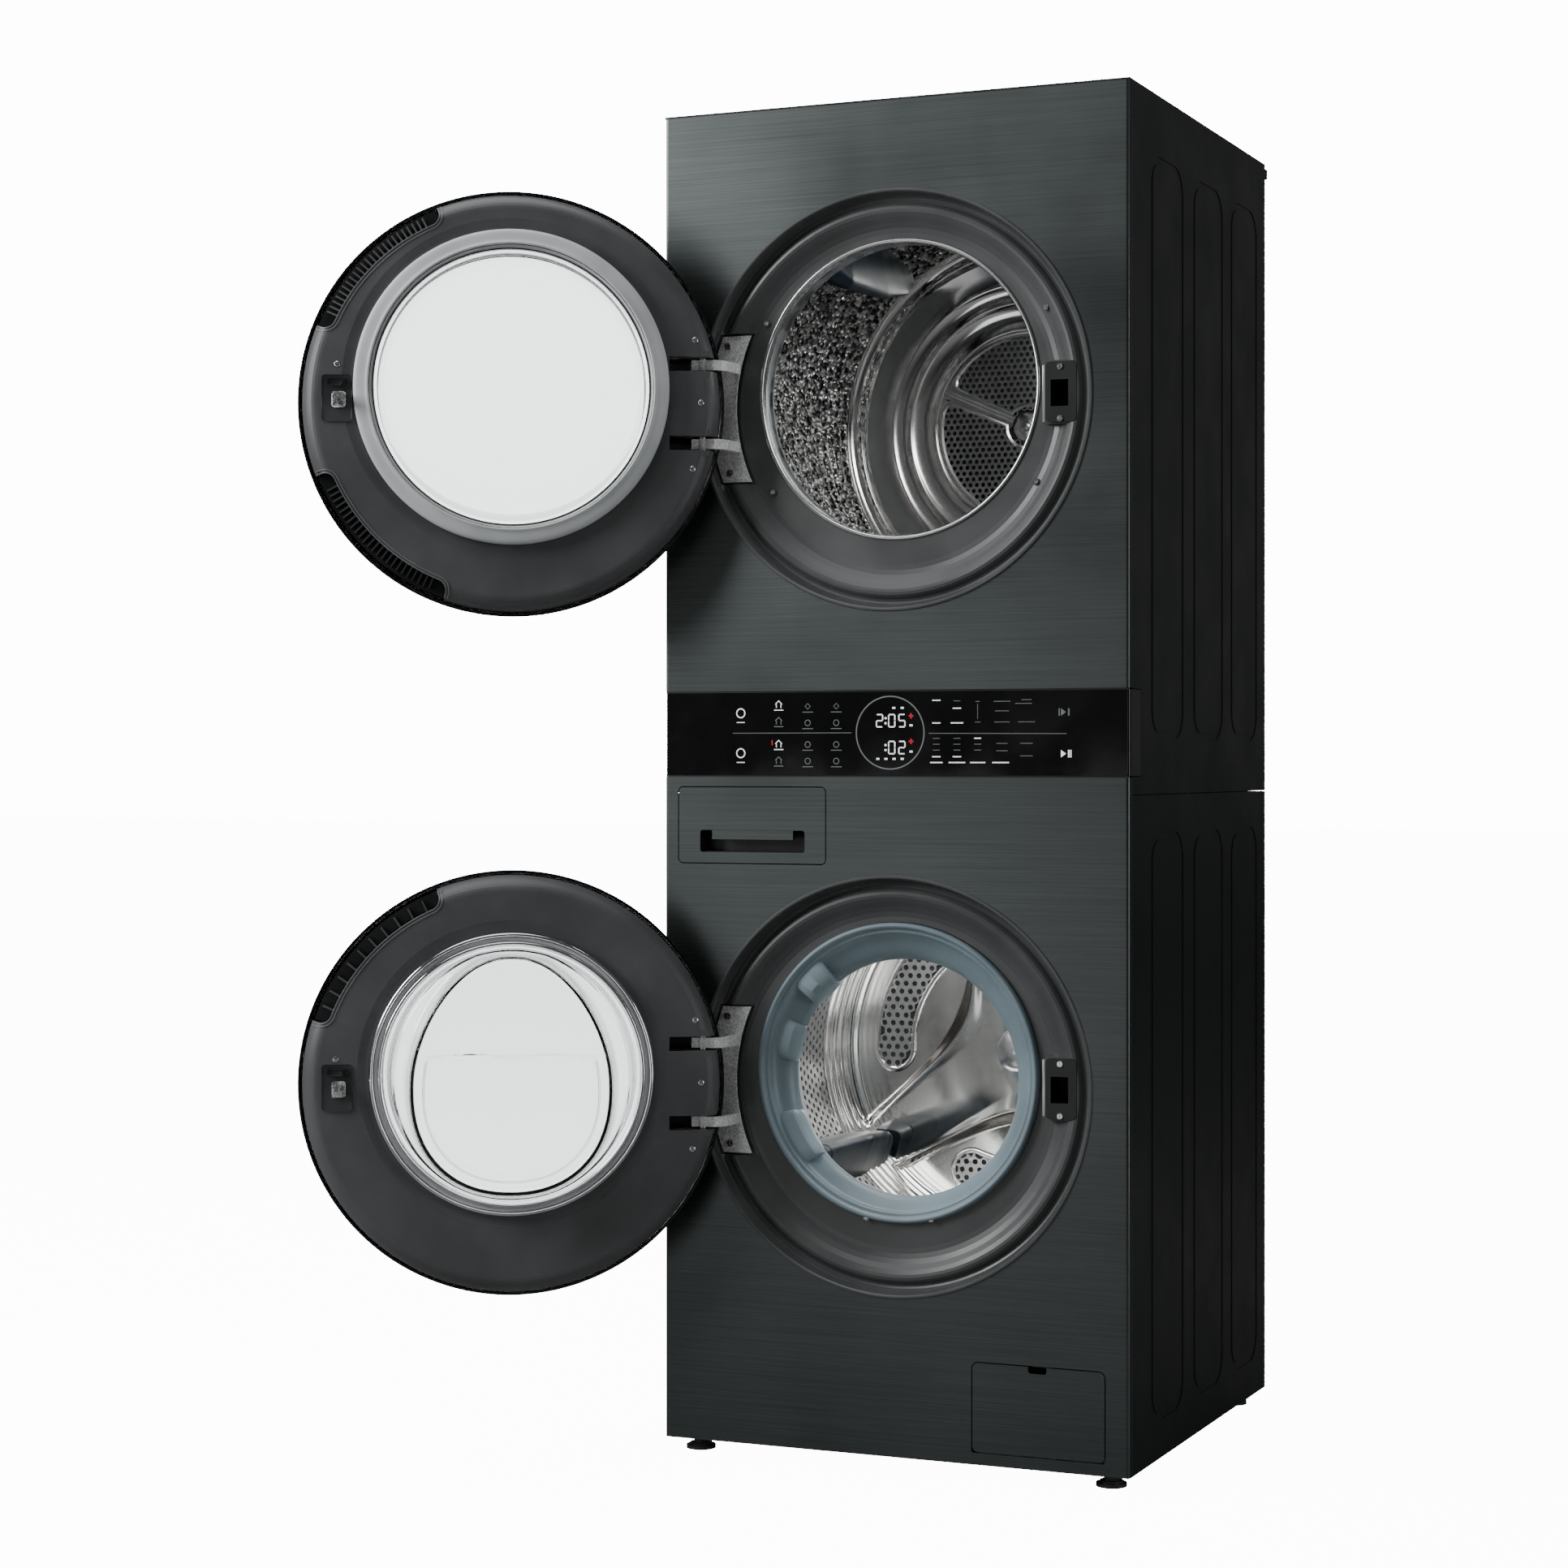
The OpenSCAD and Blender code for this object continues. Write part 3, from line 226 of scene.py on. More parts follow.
M = {
    "front_steel": brushed("black_stainless", (0.10, 0.113, 0.112), 0.36, "x"),
    "body_paint": moulded("side_paint", (0.0085, 0.0105, 0.0105), 0.33, 500, 0.12,
                          Specular_IOR_Level=0.42),
    "galvanised": sheet_metal("galvanised", (0.42, 0.44, 0.45), 0.42),
    "bezel_plastic": moulded("bezel_plastic", (0.072, 0.0755, 0.0775), 0.36, 1100, 0.15),
    "gloss_black": moulded("gloss_black", (0.006, 0.0065, 0.007), 0.14, 60, 0.03),
    "touch_glass": moulded("touch_glass", (0.003, 0.0032, 0.0035), 0.08, 30, 0.02),
    "hinge_metal": sheet_metal("hinge_metal", (0.80, 0.805, 0.81), 0.36, 0.15, 500),
    "steel_pin": sheet_metal("screw_steel", (0.66, 0.67, 0.68), 0.22, 1.0, 800),
    "black_plastic": moulded("black_plastic", (0.012, 0.013, 0.014), 0.38),
    "gasket_rubber": moulded("gasket_rubber", (0.20, 0.27, 0.305), 0.40, 700, 0.12),
    "tub_plastic": moulded("tub_plastic", (0.55, 0.57, 0.56), 0.5),
    "white_plastic": moulded("white_plastic", (0.72, 0.74, 0.73), 0.42),
    "weight_iron": moulded("cast_weight", (0.2, 0.2, 0.19), 0.8, 260, 0.9),
    "copper_winding": sheet_metal("copper", (0.55, 0.24, 0.12), 0.35, 1.0, 900),
    "stainless": brushed("drum_steel", (0.72, 0.725, 0.72), 0.25, "y", 1.0, 0.35),
    "lifter_plastic": moulded("lifter_plastic", (0.007, 0.013, 0.021), 0.36, 200, 0.1,
                              Specular_IOR_Level=0.3),
    "cast_alloy": sheet_metal("cast_alloy", (0.42, 0.43, 0.44), 0.5, 1.0, 240),
    "belt_rubber": moulded("belt_rubber", (0.012, 0.012, 0.012), 0.7),
    "door_plastic": moulded("door_plastic", (0.094, 0.097, 0.101), 0.42, 900, 0.2),
    "door_glass_black": moulded("door_black_glass", (0.008, 0.009, 0.010), 0.1, 40, 0.02),
    "ring_silver": moulded("silver_ring", (0.62, 0.65, 0.66), 0.42, 300, 0.05),
    "ring_chrome": moulded("chrome_ring", (0.75, 0.77, 0.78), 0.1, 120, 0.02, Metallic=1.0),
    "clear_glass": clear("clear_glass", (0.92, 0.935, 0.94)),
    "foot_rubber": moulded("foot_rubber", (0.05, 0.052, 0.054), 0.34),
    "polished": brushed("polished_steel", (0.80, 0.80, 0.785), 0.13, "y", 1.0, 0.12),
    "hammered": hammered("hammered_steel", (0.40, 0.40, 0.395), 0.26),
    "bowl_glass": bowl_glass("bowl_glass", (0.93, 0.94, 0.945)),
    # The pads are the gasket's rubber painted lighter: painted light on the raised pads.
    "painted_light_gasket_pad": moulded("painted_light_gasket_pad", (0.27, 0.36, 0.40), 0.36, 600, 0.1),
    "latch_black": moulded("latch_plate", (0.035, 0.038, 0.040), 0.36, 600, 0.1),
    # The legs' sloped sides are the drum's steel painted dark: painted shade.
    "leg_shade_steel": brushed("leg_side_steel_painted_shade", (0.10, 0.092, 0.085), 0.3, "y", 1.0, 0.3),
    # The grip lines' light colour is a painted highlight on the grip's edges.
    "grip_edge_highlight": moulded("grip_edge_highlight", (0.19, 0.20, 0.205), 0.35, 700, 0.1),
    # The bead's light colour is a painted highlight along the bezel's outer edge.
    "bead_painted_highlight": moulded("bezel_highlight_bead", (0.46, 0.47, 0.475), 0.2, 300, 0.05, Metallic=0.35),
    "hub_steel": brushed("hub_cap_steel", (0.62, 0.63, 0.64), 0.3, "x", 1.0, 0.25),
    "mouth_steel": brushed("mouth_ring_steel", (0.72, 0.73, 0.73), 0.22, "y", 1.0, 0.15),
    "hook_steel": sheet_metal("latch_hook_steel", (0.86, 0.87, 0.88), 0.25, 1.0, 700),
}
for shade, color, power in (("bright", (0.9, 0.93, 0.93), 0.9), ("dim", (0.16, 0.175, 0.175), 0.25),
                            ("red", (0.55, 0.01, 0.02), 0.5)):
    lit = Paint("marks_" + shade, color, 0.4)
    lit.tint(lit.noise(160, detail=2), 0.9, 1.1)
    lit.shader.inputs["Emission Color"].default_value = (*color, 1)
    lit.shader.inputs["Emission Strength"].default_value = power
    M["marks_" + shade] = lit.material

# Material slot of each CAD node, as model.json gives it.
SLOT_OF = {part["node"]: part["material_slot"] for part in frame["record"]["subparts"]}


def smooth(obj, degrees=32):
    """Smooth shading, with edges sharper than that many degrees left sharp; 180 leaves none."""
    for polygon in obj.data.polygons:
        polygon.use_smooth = True
    if degrees < 180:
        obj.modifiers.new("edges", "EDGE_SPLIT").split_angle = radians(degrees)


for name, obj in frame["nodes"].items():
    obj.data.materials.clear()
    obj.data.materials.append(M[SLOT_OF[name]])
    smooth(obj)


# ---- mesh helpers
# Lengths are in mm unless said otherwise, and a part is a pair of points in metres and faces.
def deep(y):
    """Y of a point that many millimetres behind the front plane."""
    return FRONT_Y + y * MM


def polar(centre, r, a, y):
    """The point at radius r and angle a round a line along Y."""
    return centre[0] + r * MM * cos(a), deep(y), centre[1] + r * MM * sin(a)


def beside(centre, r, across, a, y):
    """The point at radius r in direction a, moved across to the side."""
    u = r * cos(a) - across * sin(a)
    v = r * sin(a) + across * cos(a)
    return centre[0] + u * MM, deep(y), centre[1] + v * MM


def first_modifier(obj, name, kind, **values):
    made = obj.modifiers.new(name, kind)
    for key, value in values.items():
        setattr(made, key, value)
    if len(obj.modifiers) > 1:
        obj.modifiers.move(len(obj.modifiers) - 1, 0)


def add_piece(name, part, material, body, stands_for=(), split=32, thick=0.0, offset=-1.0, bevel=False):
    """A mesh piece that rides on a body; thick gives a sheet that thickness, split 0 leaves faces flat."""
    verts, faces = part
    data = bpy.data.meshes.new(name)
    data.from_pydata([tuple(v) for v in verts], [], faces)
    data.validate()
    data.update()
    obj = bpy.data.objects.new(name, data)
    bpy.context.scene.collection.objects.link(obj)
    bm = bmesh.new()
    bm.from_mesh(data)
    bmesh.ops.remove_doubles(bm, verts=bm.verts, dist=1e-6)
    bmesh.ops.recalc_face_normals(bm, faces=bm.faces)
    bm.to_mesh(data)
    bm.free()
    data.materials.append(M[material])
    if split:
        smooth(obj, split)
    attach(obj, body)
    if stands_for:
        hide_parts(*stands_for)
    if thick:
        first_modifier(obj, "thickness", "SOLIDIFY", thickness=thick * MM, offset=offset)
    if bevel:
        first_modifier(obj, "round", "BEVEL", width=1.2 * MM, segments=2, limit_method="ANGLE",
                       angle_limit=radians(40))


def grid_faces(rows, columns, closed):
    """Quads between rows of points; closed joins the last column to the first."""
    faces = []
    for i in range(rows - 1):
        for j in range(columns if closed else columns - 1):
            k = (j + 1) % columns
            faces.append((i * columns + j, i * columns + k, (i + 1) * columns + k, (i + 1) * columns + j))
    return faces


def capped(verts, per):
    """A run of closed outlines of per points each, with both ends closed."""
    ends = [tuple(range(per)), tuple(range(len(verts) - per, len(verts)))]
    return verts, grid_faces(len(verts) // per, per, True) + ends


def turned(profile, centre, steps=144, ring=True):
    """A profile of (radius, depth) turned about a line along Y; ring closes it."""
    rows = list(profile) + ([profile[0]] if ring else [])
    verts = [polar(centre, r, 2 * pi * j / steps, y) for r, y in rows for j in range(steps)]
    return verts, grid_faces(len(rows), steps, True)


def rounded(profile, rounds=1):
    """A closed profile with its corners cut smoother, as a moulding has them."""
    points = list(profile)
    for _ in range(rounds):
        cut = []
        for a, b in zip(points, points[1:] + points[:1]):
            cut.append((a[0] * 0.75 + b[0] * 0.25, a[1] * 0.75 + b[1] * 0.25))
            cut.append((a[0] * 0.25 + b[0] * 0.75, a[1] * 0.25 + b[1] * 0.75))
        points = cut
    return points


def join(parts):
    """One part from several."""
    verts, faces = [], []
    for v, f in parts:
        base = len(verts)
        verts += v
        faces += [tuple(base + i for i in face) for face in f]
    return verts, faces


def brick(x0, x1, y0, y1, z0, z1):
    """A block between those planes, in metres."""
    verts = [(x, y, z) for x in (x0, x1) for y in (y0, y1) for z in (z0, z1)]
    return verts, [(0, 1, 3, 2), (4, 6, 7, 5), (0, 4, 5, 1), (2, 3, 7, 6), (0, 2, 6, 4), (1, 5, 7, 3)]


def soft_outline(x0, x1, z0, z1, r, steps=6):
    """A rectangle with round corners, as points round it."""
    points = []
    for cx, cz, a0 in ((x1 - r, z1 - r, 0), (x0 + r, z1 - r, 90), (x0 + r, z0 + r, 180),
                       (x1 - r, z0 + r, 270)):
        for i in range(steps + 1):
            a = radians(a0 + 90 * i / steps)
            points.append((cx + r * cos(a), cz + r * sin(a)))
    return points


def slab(outline, y_front, y_back, edge=0.0):
    """A plate with that outline in X and Z; edge rounds its front edge."""
    n = len(outline)
    cx = sum(p[0] for p in outline) / n
    cz = sum(p[1] for p in outline) / n

    def inset(d):
        made = []
        for x, z in outline:
            length = hypot(x - cx, z - cz)
            made.append((x - (x - cx) / length * d, z - (z - cz) / length * d))
        return made

    rows = [(outline, y_back), (outline, y_front + edge)]
    if edge:
        rows += [(inset(edge * 0.3), y_front + edge * 0.3), (inset(edge), y_front)]
    return capped([(x * MM, deep(y), z * MM) for points, y in rows for x, z in points], n)


def hex_cells(inside, pitch, hole_r, low, high):
    """Flat sheet of six-sided cells with a round hole in each, as points (u, v) and faces, in metres."""
    verts, faces, known = [], [], {}

    def point(u, v):
        key = (round(u, 5), round(v, 5))
        if key not in known:
            known[key] = len(verts)
            verts.append((u, v))
        return known[key]

    step_v = pitch * sqrt(3) / 2
    for row in range(int((high[1] - low[1]) / step_v) + 2):
        for column in range(int((high[0] - low[0]) / pitch) + 2):
            u = low[0] + (column + 0.5 * (row % 2)) * pitch
            v = low[1] + row * step_v
            if not inside(u, v):
                continue
            outer, inner = [], []
            for i in range(12):
                a = radians(30 * i)
                corner = pitch / sqrt(3) if i % 2 else pitch / 2
                outer.append(point(u + corner * cos(a), v + corner * sin(a)))
                inner.append(point(u + hole_r * cos(a), v + hole_r * sin(a)))
            for i in range(12):
                k = (i + 1) % 12
                faces.append((outer[i], outer[k], inner[k], inner[i]))
    return verts, faces


def step(x, a, b):
    """0 before a, 1 after b, smooth between."""
    t = min(max((x - a) / (b - a), 0.0), 1.0)
    return t * t * (3 - 2 * t)


# ---- places on the object, in metres
def centre_of(node):
    low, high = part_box(node)
    return ((low.x + high.x) / 2, (low.z + high.z) / 2)


def swing(joint_name):
    """Turns a closed door's points to where the door stands in the rest pose."""
    joint = JOINTS[joint_name]
    low, high = joint["range_deg"]
    at = Vector(joint["pos_m"])
    turn = Matrix.Rotation(radians(low - high), 4, "Z")
    return Matrix.Translation(at) @ turn @ Matrix.Translation(-at)


DRYER_AXIS = centre_of("dryer_drum")
WASH_AXIS = centre_of("wash_drum")
GASKET = centre_of("door_gasket")
CENTRES = {"dryer": centre_of("dryer_bezel"), "washer": centre_of("washer_bezel")}
SWINGS = {door: swing(door + "_door_hinge") for door in CENTRES}
DRUM_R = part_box("dryer_drum")[1].x - 2 * MM
WASH_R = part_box("wash_drum")[1].x - 1.5 * MM


# ---- dryer drum
def embossed(u, v):
    """Height of the dryer drum's hammered pattern at u round the wall and v along it, in metres."""
    cell = 10.5 * MM
    row = floor(v / cell)
    column = floor(u / cell + 0.5 * (row % 2))
    pick = random.Random(row * 7919 + column)
    du = u / cell + 0.5 * (row % 2) - column - pick.uniform(0.4, 0.6)
    dv = v / cell - row - pick.uniform(0.4, 0.6)
    dome = max(0.0, 1 - (du * du + dv * dv) / pick.uniform(0.14, 0.22))
    return dome * pick.choice((-1.4, -1.0, 1.6, 2.4)) * MM


def dryer_wall():
    """The embossed wall with its ribbed band at the back, just inside the CAD shell's outer face."""
    steps = 800
    low, rib0, rib1, high = 77, 430, 560, 562
    rows = [low, low + 4] + [low + 8 + 2.4 * i for i in range(int((rib0 - low - 14) / 2.4))]
    rows += [rib0 - 4 + 2.5 * i for i in range(int((rib1 - rib0 + 4) / 2.5) + 1)] + [high]
    verts = []
    for y in rows:
        rib = step(y, rib0, rib0 + 8) * (1 - step(y, rib1 - 6, rib1))
        wave = 3.2 * MM * rib * (0.5 - 0.5 * cos((y - rib0) / 26 * 2 * pi))
        for j in range(steps):
            a = 2 * pi * j / steps
            bump = embossed(a * DRUM_R, y * MM) if low + 6 < y < rib0 - 2 else 0.0
            r = DRUM_R - 0.2 * MM - wave - max(bump, -0.2 * MM)
            verts.append((DRYER_AXIS[0] + r * cos(a), deep(y), DRYER_AXIS[1] + r * sin(a)))
    add_piece("dryer_drum_wall", (verts, grid_faces(len(rows), steps, True)), "hammered", "dryer_drum_body",
              stands_for=["dryer_drum"], split=180, thick=1.2, offset=1.0)


RIB_ANGLES = [radians(156.6 + 120 * i) for i in range(3)]


def in_sector(u, v):
    """True where a point of the dryer's round back, in metres, lies in one of its perforated sectors."""
    if not 26 * MM < hypot(u, v) < 147 * MM:
        return False
    for a in RIB_ANGLES:
        if u * cos(a) + v * sin(a) > 0 and abs(v * cos(a) - u * sin(a)) < 9 * MM:
            return False
    return True


def sector_outline(a, b, outer, inner, gap, y):
    """Points round one sector between the rib directions a and b, gap away from the ribs' middles."""
    corner = 12

    def side(rib, way):
        """Radius and angle of the points beside one rib, from the hub outwards."""
        return [(inner, rib + way * asin(gap / inner)),
                (outer - corner, rib + way * asin(gap / (outer - corner))),
                (outer - corner * 0.3, rib + way * asin((gap + corner * 0.3) / outer))]

    first, last = side(a, 1), side(b, -1)
    end = asin((gap + corner) / (outer - corner))
    rim = [(outer, a + end + (b - a - 2 * end) * i / 40) for i in range(41)]
    a_in, b_in = first[0][1], last[0][1]
    back = [(inner, b_in + (a_in - b_in) * i / 10) for i in range(1, 10)]
    return [polar(DRYER_AXIS, r, t, y) for r, t in first + rim + last[::-1] + back]


def dryer_back():
    c, body = DRYER_AXIS, "dryer_drum_body"
    dish = [
        (295, 561), (294.5, 565), (291, 569.5), (285, 572), (278, 573), (273, 572), (271, 570),
        (269.5, 569.5), (262, 571), (246, 574.5), (230, 577), (226.5, 577), (225, 574.5), (223.4, 572),
        (221.5, 571.6), (219.5, 573), (212, 575.8), (203, 577.6), (197, 577.6), (195.5, 576), (194, 571),
        (192.5, 569.6), (190.5, 569.6), (189, 571), (186, 573), (170, 575.6), (156, 576.8), (153, 575),
        (151.6, 569.6), (150, 568.4), (148, 568.4), (146.6, 570), (146, 572), (140, 573),
    ]
    add_piece("dryer_drum_back", turned(dish, c, 240, ring=False), "polished", body, split=60, thick=0.8,
              offset=0.0)
    reach = 150 * MM
    verts, faces = hex_cells(in_sector, 10.4 * MM, 3.3 * MM, (-reach, -reach), (reach, reach))
    sheet = [(c[0] + u, deep(573.4), c[1] + v) for u, v in verts]
    add_piece("dryer_back_holes", (sheet, faces), "stainless", body, split=50, thick=1.0)

    frames, ribs = [], []
    across_ribs = ((-8, 571.2), (-5, 571.0), (-3.6, 568.6), (-2, 568.2), (0, 569.4), (2, 568.2),
                   (3.6, 568.6), (5, 571.0), (8, 571.2))
    for a in RIB_ANGLES:
        rows = [sector_outline(a, a + radians(120), 143 - inset, 30 + inset, 7.5 + inset, y)
                for inset, y in ((0, 571.0), (3.2, 570.0), (6.4, 572.6))]
        frames.append((sum(rows, []), grid_faces(3, len(rows[0]), True)))
        verts = [beside(c, along, across, a, y) for across, y in across_ribs for along in (22, 146)]
        ribs.append((verts, grid_faces(len(across_ribs), 2, False)))
    add_piece("dryer_sector_rims", join(frames), "stainless", body, split=50, thick=0.8)
    add_piece("dryer_back_ribs", join(ribs), "stainless", body, split=50, thick=0.8)

    hub = [(0, 566), (5, 566), (7, 567), (8, 568.5), (14, 569.4), (19, 570.4), (22, 572.5), (22, 574),
           (0, 574)]
    add_piece("dryer_hub", turned(hub, c, 48, ring=False), "stainless", body)
    dark = [(0, 578.6), (294, 578.6), (294, 579.4), (0, 579.4)]
    add_piece("dryer_back_shadow_plate", turned(dark, c, 96), "black_plastic", body)


def lifter(centre, angle, wall_r, sections, creased=False):
    """A lifter lofted along the drum through sections of (depth, height, half width at the wall, on top)."""
    verts, per = [], 17
    rows = []
    for here, there in zip(sections, sections[1:]):
        rows += [[a + (b - a) * step(i, 0, 8) for a, b in zip(here, there)] for i in range(8)]
    rows.append(sections[-1])
    for n, (y, h, foot, top) in enumerate(rows):
        for i in range(per):
            s = -1 + 2 * i / (per - 1)
            lift = (1 - abs(s) ** 3.2) ** 0.55
            crease = 1 - 0.035 * (n % 2) if creased and abs(s) < 0.8 else 1.0
            verts.append(beside(centre, wall_r - 1 - h * lift * crease, s * (foot + (top - foot) * lift),
                                angle, y))
    return capped(verts, per)


def dryer_lifters():
    sections = [(108, 10, 34, 20), (116, 62, 46, 22), (180, 78, 48, 18), (330, 74, 42, 12),
                (460, 44, 26, 6), (522, 18, 16, 4), (534, 3, 8, 2)]
    parts = [lifter(DRYER_AXIS, radians(a), 295, sections) for a in (128, 8, 248)]
    add_piece("dryer_lifter_blades", join(parts), "lifter_plastic", "dryer_drum_body",
              stands_for=["dryer_drum_lifters"], split=50, bevel=True)


# ---- wash drum
LEGS = [radians(a) for a in (215, 95, -25)]
WASH_BACK = 531.0
STAR_RISE = 11.5
WASH_WALL = WASH_R / MM
# Perforated lobes of the wash drum's back: middle radius and half width, and half their turn.
LOBE_R, LOBE_HALF, LOBE_TURN = 200.0, 31.0, radians(27)


def turn_between(a, b):
    """The angle between two directions, from 0 to half a turn."""
    return abs((a - b + pi) % (2 * pi) - pi)


def star_edge(a):
    """Radius of the raised star's edge in direction a."""
    off = min(turn_between(a, leg) for leg in LEGS)
    return min(92 / max(cos(1.36 * (pi / 3 - off)), 0.01), 330)


def star_rise(r, edge):
    """Height of the star above the drum's back at radius r."""
    return STAR_RISE * (1 - step(r, edge - 2, edge + 20))


def in_lobe(u, v):
    """True inside the perforated part of a lobe, each a slice of a ring with round ends; in metres."""
    r, a = hypot(u, v) / MM, atan2(v, u)
    off = min(turn_between(a, leg + pi / 3) for leg in LEGS)
    return hypot(r - LOBE_R, max(off - LOBE_TURN, 0.0) * LOBE_R) < LOBE_HALF - 5.5


def lobe_sheet(middle, bands):
    """Rows that follow a lobe's outline: each band is (growth of the outline, rise above the back)."""
    rows = []
    for grow, rise in bands:
        half = max(LOBE_HALF + grow, 0.3)
        line = []
        for side in (1, -1):
            line += [(LOBE_R + side * half, middle + side * LOBE_TURN * (i / 20 - 1)) for i in range(41)]
            for t in (pi * i / 12 for i in range(1, 12)):
                line.append((LOBE_R + side * half * cos(t),
                             middle + side * (LOBE_TURN + half * sin(t) / LOBE_R)))
        rows.append([polar(WASH_AXIS, r, a, WASH_BACK - rise) for r, a in line])
    return sum(rows, []), grid_faces(len(rows), len(rows[0]), True)


def wash_back():
    body, steps, rows = "wash_drum_body", 360, 110
    verts = []
    for i in range(rows + 1):
        r = 20 + (272.5 - 20) * i / rows
        for j in range(steps):
            a = 2 * pi * j / steps
            edge = star_edge(a)
            rim = 7 * step(r, 262, 272)
            swell = 1.5 * sin(pi * min(r, 250) / 250) * (1 - step(r, edge - 30, edge))
            verts.append(polar(WASH_AXIS, r, a, WASH_BACK - max(star_rise(r, edge) - swell, rim)))
    add_piece("wash_drum_star", (verts, grid_faces(rows + 1, steps, True)), "polished", body,
              stands_for=["wash_drum_back"], split=180, thick=0.8)

    reach = 260 * MM
    cells, faces = hex_cells(in_lobe, 14.2 * MM, 4.2 * MM, (-reach, -reach), (reach, reach))
    sheet = [(WASH_AXIS[0] + u, deep(WASH_BACK - 3.4), WASH_AXIS[1] + v) for u, v in cells]
    add_piece("wash_back_holes", (sheet, faces), "stainless", body, split=50, thick=0.8)
    # Polished rims round the lobes, and black sheets under their holes as painted shade behind the back.
    for name, material, split, thick, bands in (
            ("rims", "polished", 60, 0.6, ((3.5, 0.4), (1.5, 3.6), (-1.0, 5.0), (-3.5, 4.2), (-5.5, 3.4))),
            ("shade_sheets", "black_plastic", 0, 0.3, ((-2.0, 1.4), (-LOBE_HALF + 0.5, 1.4)))):
        parts = [lobe_sheet(leg + pi / 3, bands) for leg in LEGS]
        add_piece("wash_lobe_" + name, join(parts), material, body, split=split, thick=thick)

    cap = [(0, 511.5), (3, 511.5), (4.6, 513), (4.6, 514.4), (12, 514.6), (26, 516.4), (32, 519), (34, 522),
           (34, 526), (0, 526)]
    add_piece("wash_hub_cap", turned(cap, WASH_AXIS, 72, ring=False), "hub_steel", body, split=40)


def leg_sides():
    """The sloped sides of the star's legs, laid over the drum's back, painted dark as shade."""
    steps, rows = 720, 7
    verts, faces = [], []
    edges = [star_edge(2 * pi * j / steps) for j in range(steps)]
    for j, edge in enumerate(edges):
        for k in range(rows):
            r = edge + 1 + 18 * k / (rows - 1)
            verts.append(polar(WASH_AXIS, r, 2 * pi * j / steps, WASH_BACK - star_rise(r, edge) - 1.4))
        k = (j + 1) % steps
        if max(edge, edges[k]) <= 240:
            faces += [(j * rows + i, k * rows + i, k * rows + i + 1, j * rows + i + 1)
                      for i in range(rows - 1)]
    add_piece("wash_star_sides", (verts, faces), "leg_shade_steel", "wash_drum_body", split=180, thick=0.4)


def wash_wall():
    c, wall_r, body, steps = WASH_AXIS, WASH_WALL, "wash_drum_body", 240
    lip = [(190, 117), (190.6, 121), (195, 122.6), (250, 123), (264, 124.5), (271, 129), (wall_r, 137),
           (wall_r, 146)]
    add_piece("wash_drum_lip", turned(lip, c, steps, ring=False), "stainless", body,
              stands_for=["wash_drum"], split=50, thick=0.9, offset=0.0)

    girth = 2 * pi * WASH_R
    pitch = girth / round(girth / (14.5 * MM))
    verts, faces = hex_cells(lambda u, v: u < girth - pitch * 0.25, pitch, 3.6 * MM, (0, 0),
                             (girth, 270 * MM))
    wall = [(c[0] + WASH_R * cos(u / WASH_R), deep(150) + v, c[1] + WASH_R * sin(u / WASH_R))
            for u, v in verts]
    add_piece("wash_drum_holes", (wall, faces), "stainless", body, split=60, thick=0.8, offset=0.0)
    # A black sheet in the gap between drum and tub, seen through the holes: painted shade.
    gap = turned([(wall_r + 1.2, 140), (wall_r + 1.2, 432)], c, 96, ring=False)
    add_piece("wash_wall_shade_sheet", gap, "black_plastic", body, thick=0.3, offset=0.0)

    band = turned([(wall_r, 146.2), (wall_r - 0.4, 148), (wall_r - 0.4, 158)], c, steps, ring=False)
    add_piece("wash_drum_front_band", band, "stainless", body, split=50, thick=0.6, offset=0.0)
    ribs = []
    for y in (412 + 1.25 * i for i in range(90)):
        on = step(y, 416, 424) * (1 - step(y, 514, 522))
        ribs.append((wall_r - 0.5 - 4.0 * on * (0.5 - 0.5 * cos((y - 416) / 24.5 * 2 * pi)) ** 0.8, y))
    add_piece("wash_drum_ribs", turned(ribs, c, steps, ring=False), "polished", body, split=70, thick=0.6,
              offset=0.0)


def wash_lifters():
    sections = [(162, 30, 34, 22), (170, 50, 40, 20), (215, 57, 40, 16), (380, 55, 38, 14),
                (470, 46, 34, 12), (503, 34, 30, 12)]
    wall_r, body = 274, "wash_drum_body"
    add_piece("wash_lifter_blades", join([lifter(WASH_AXIS, leg, wall_r, sections, True) for leg in LEGS]),
              "lifter_plastic", body, stands_for=["wash_drum_lifters"], split=45, bevel=True)
    bars = []
    for leg in LEGS:
        for x in range(-24, 25, 8):
            corners = ((-56, -1.6), (-56, 1.6), (-14, 1.6), (-14, -1.6))
            bars.append(capped([beside(WASH_AXIS, wall_r + dr, x + dx, leg, y) for y in (157, 166)
                                for dr, dx in corners], 4))
    add_piece("wash_lifter_grilles", join(bars), "black_plastic", body, split=40)


# ---- gasket and dryer mouth
def sagged(part):
    """Moves the gasket's inner fold so that it lies on the drum's axis."""
    fall = (GASKET[1] - WASH_AXIS[1]) * 0.95
    return [(x, y, z - fall * step(y, deep(24), deep(50))) for x, y, z in part[0]], part[1]


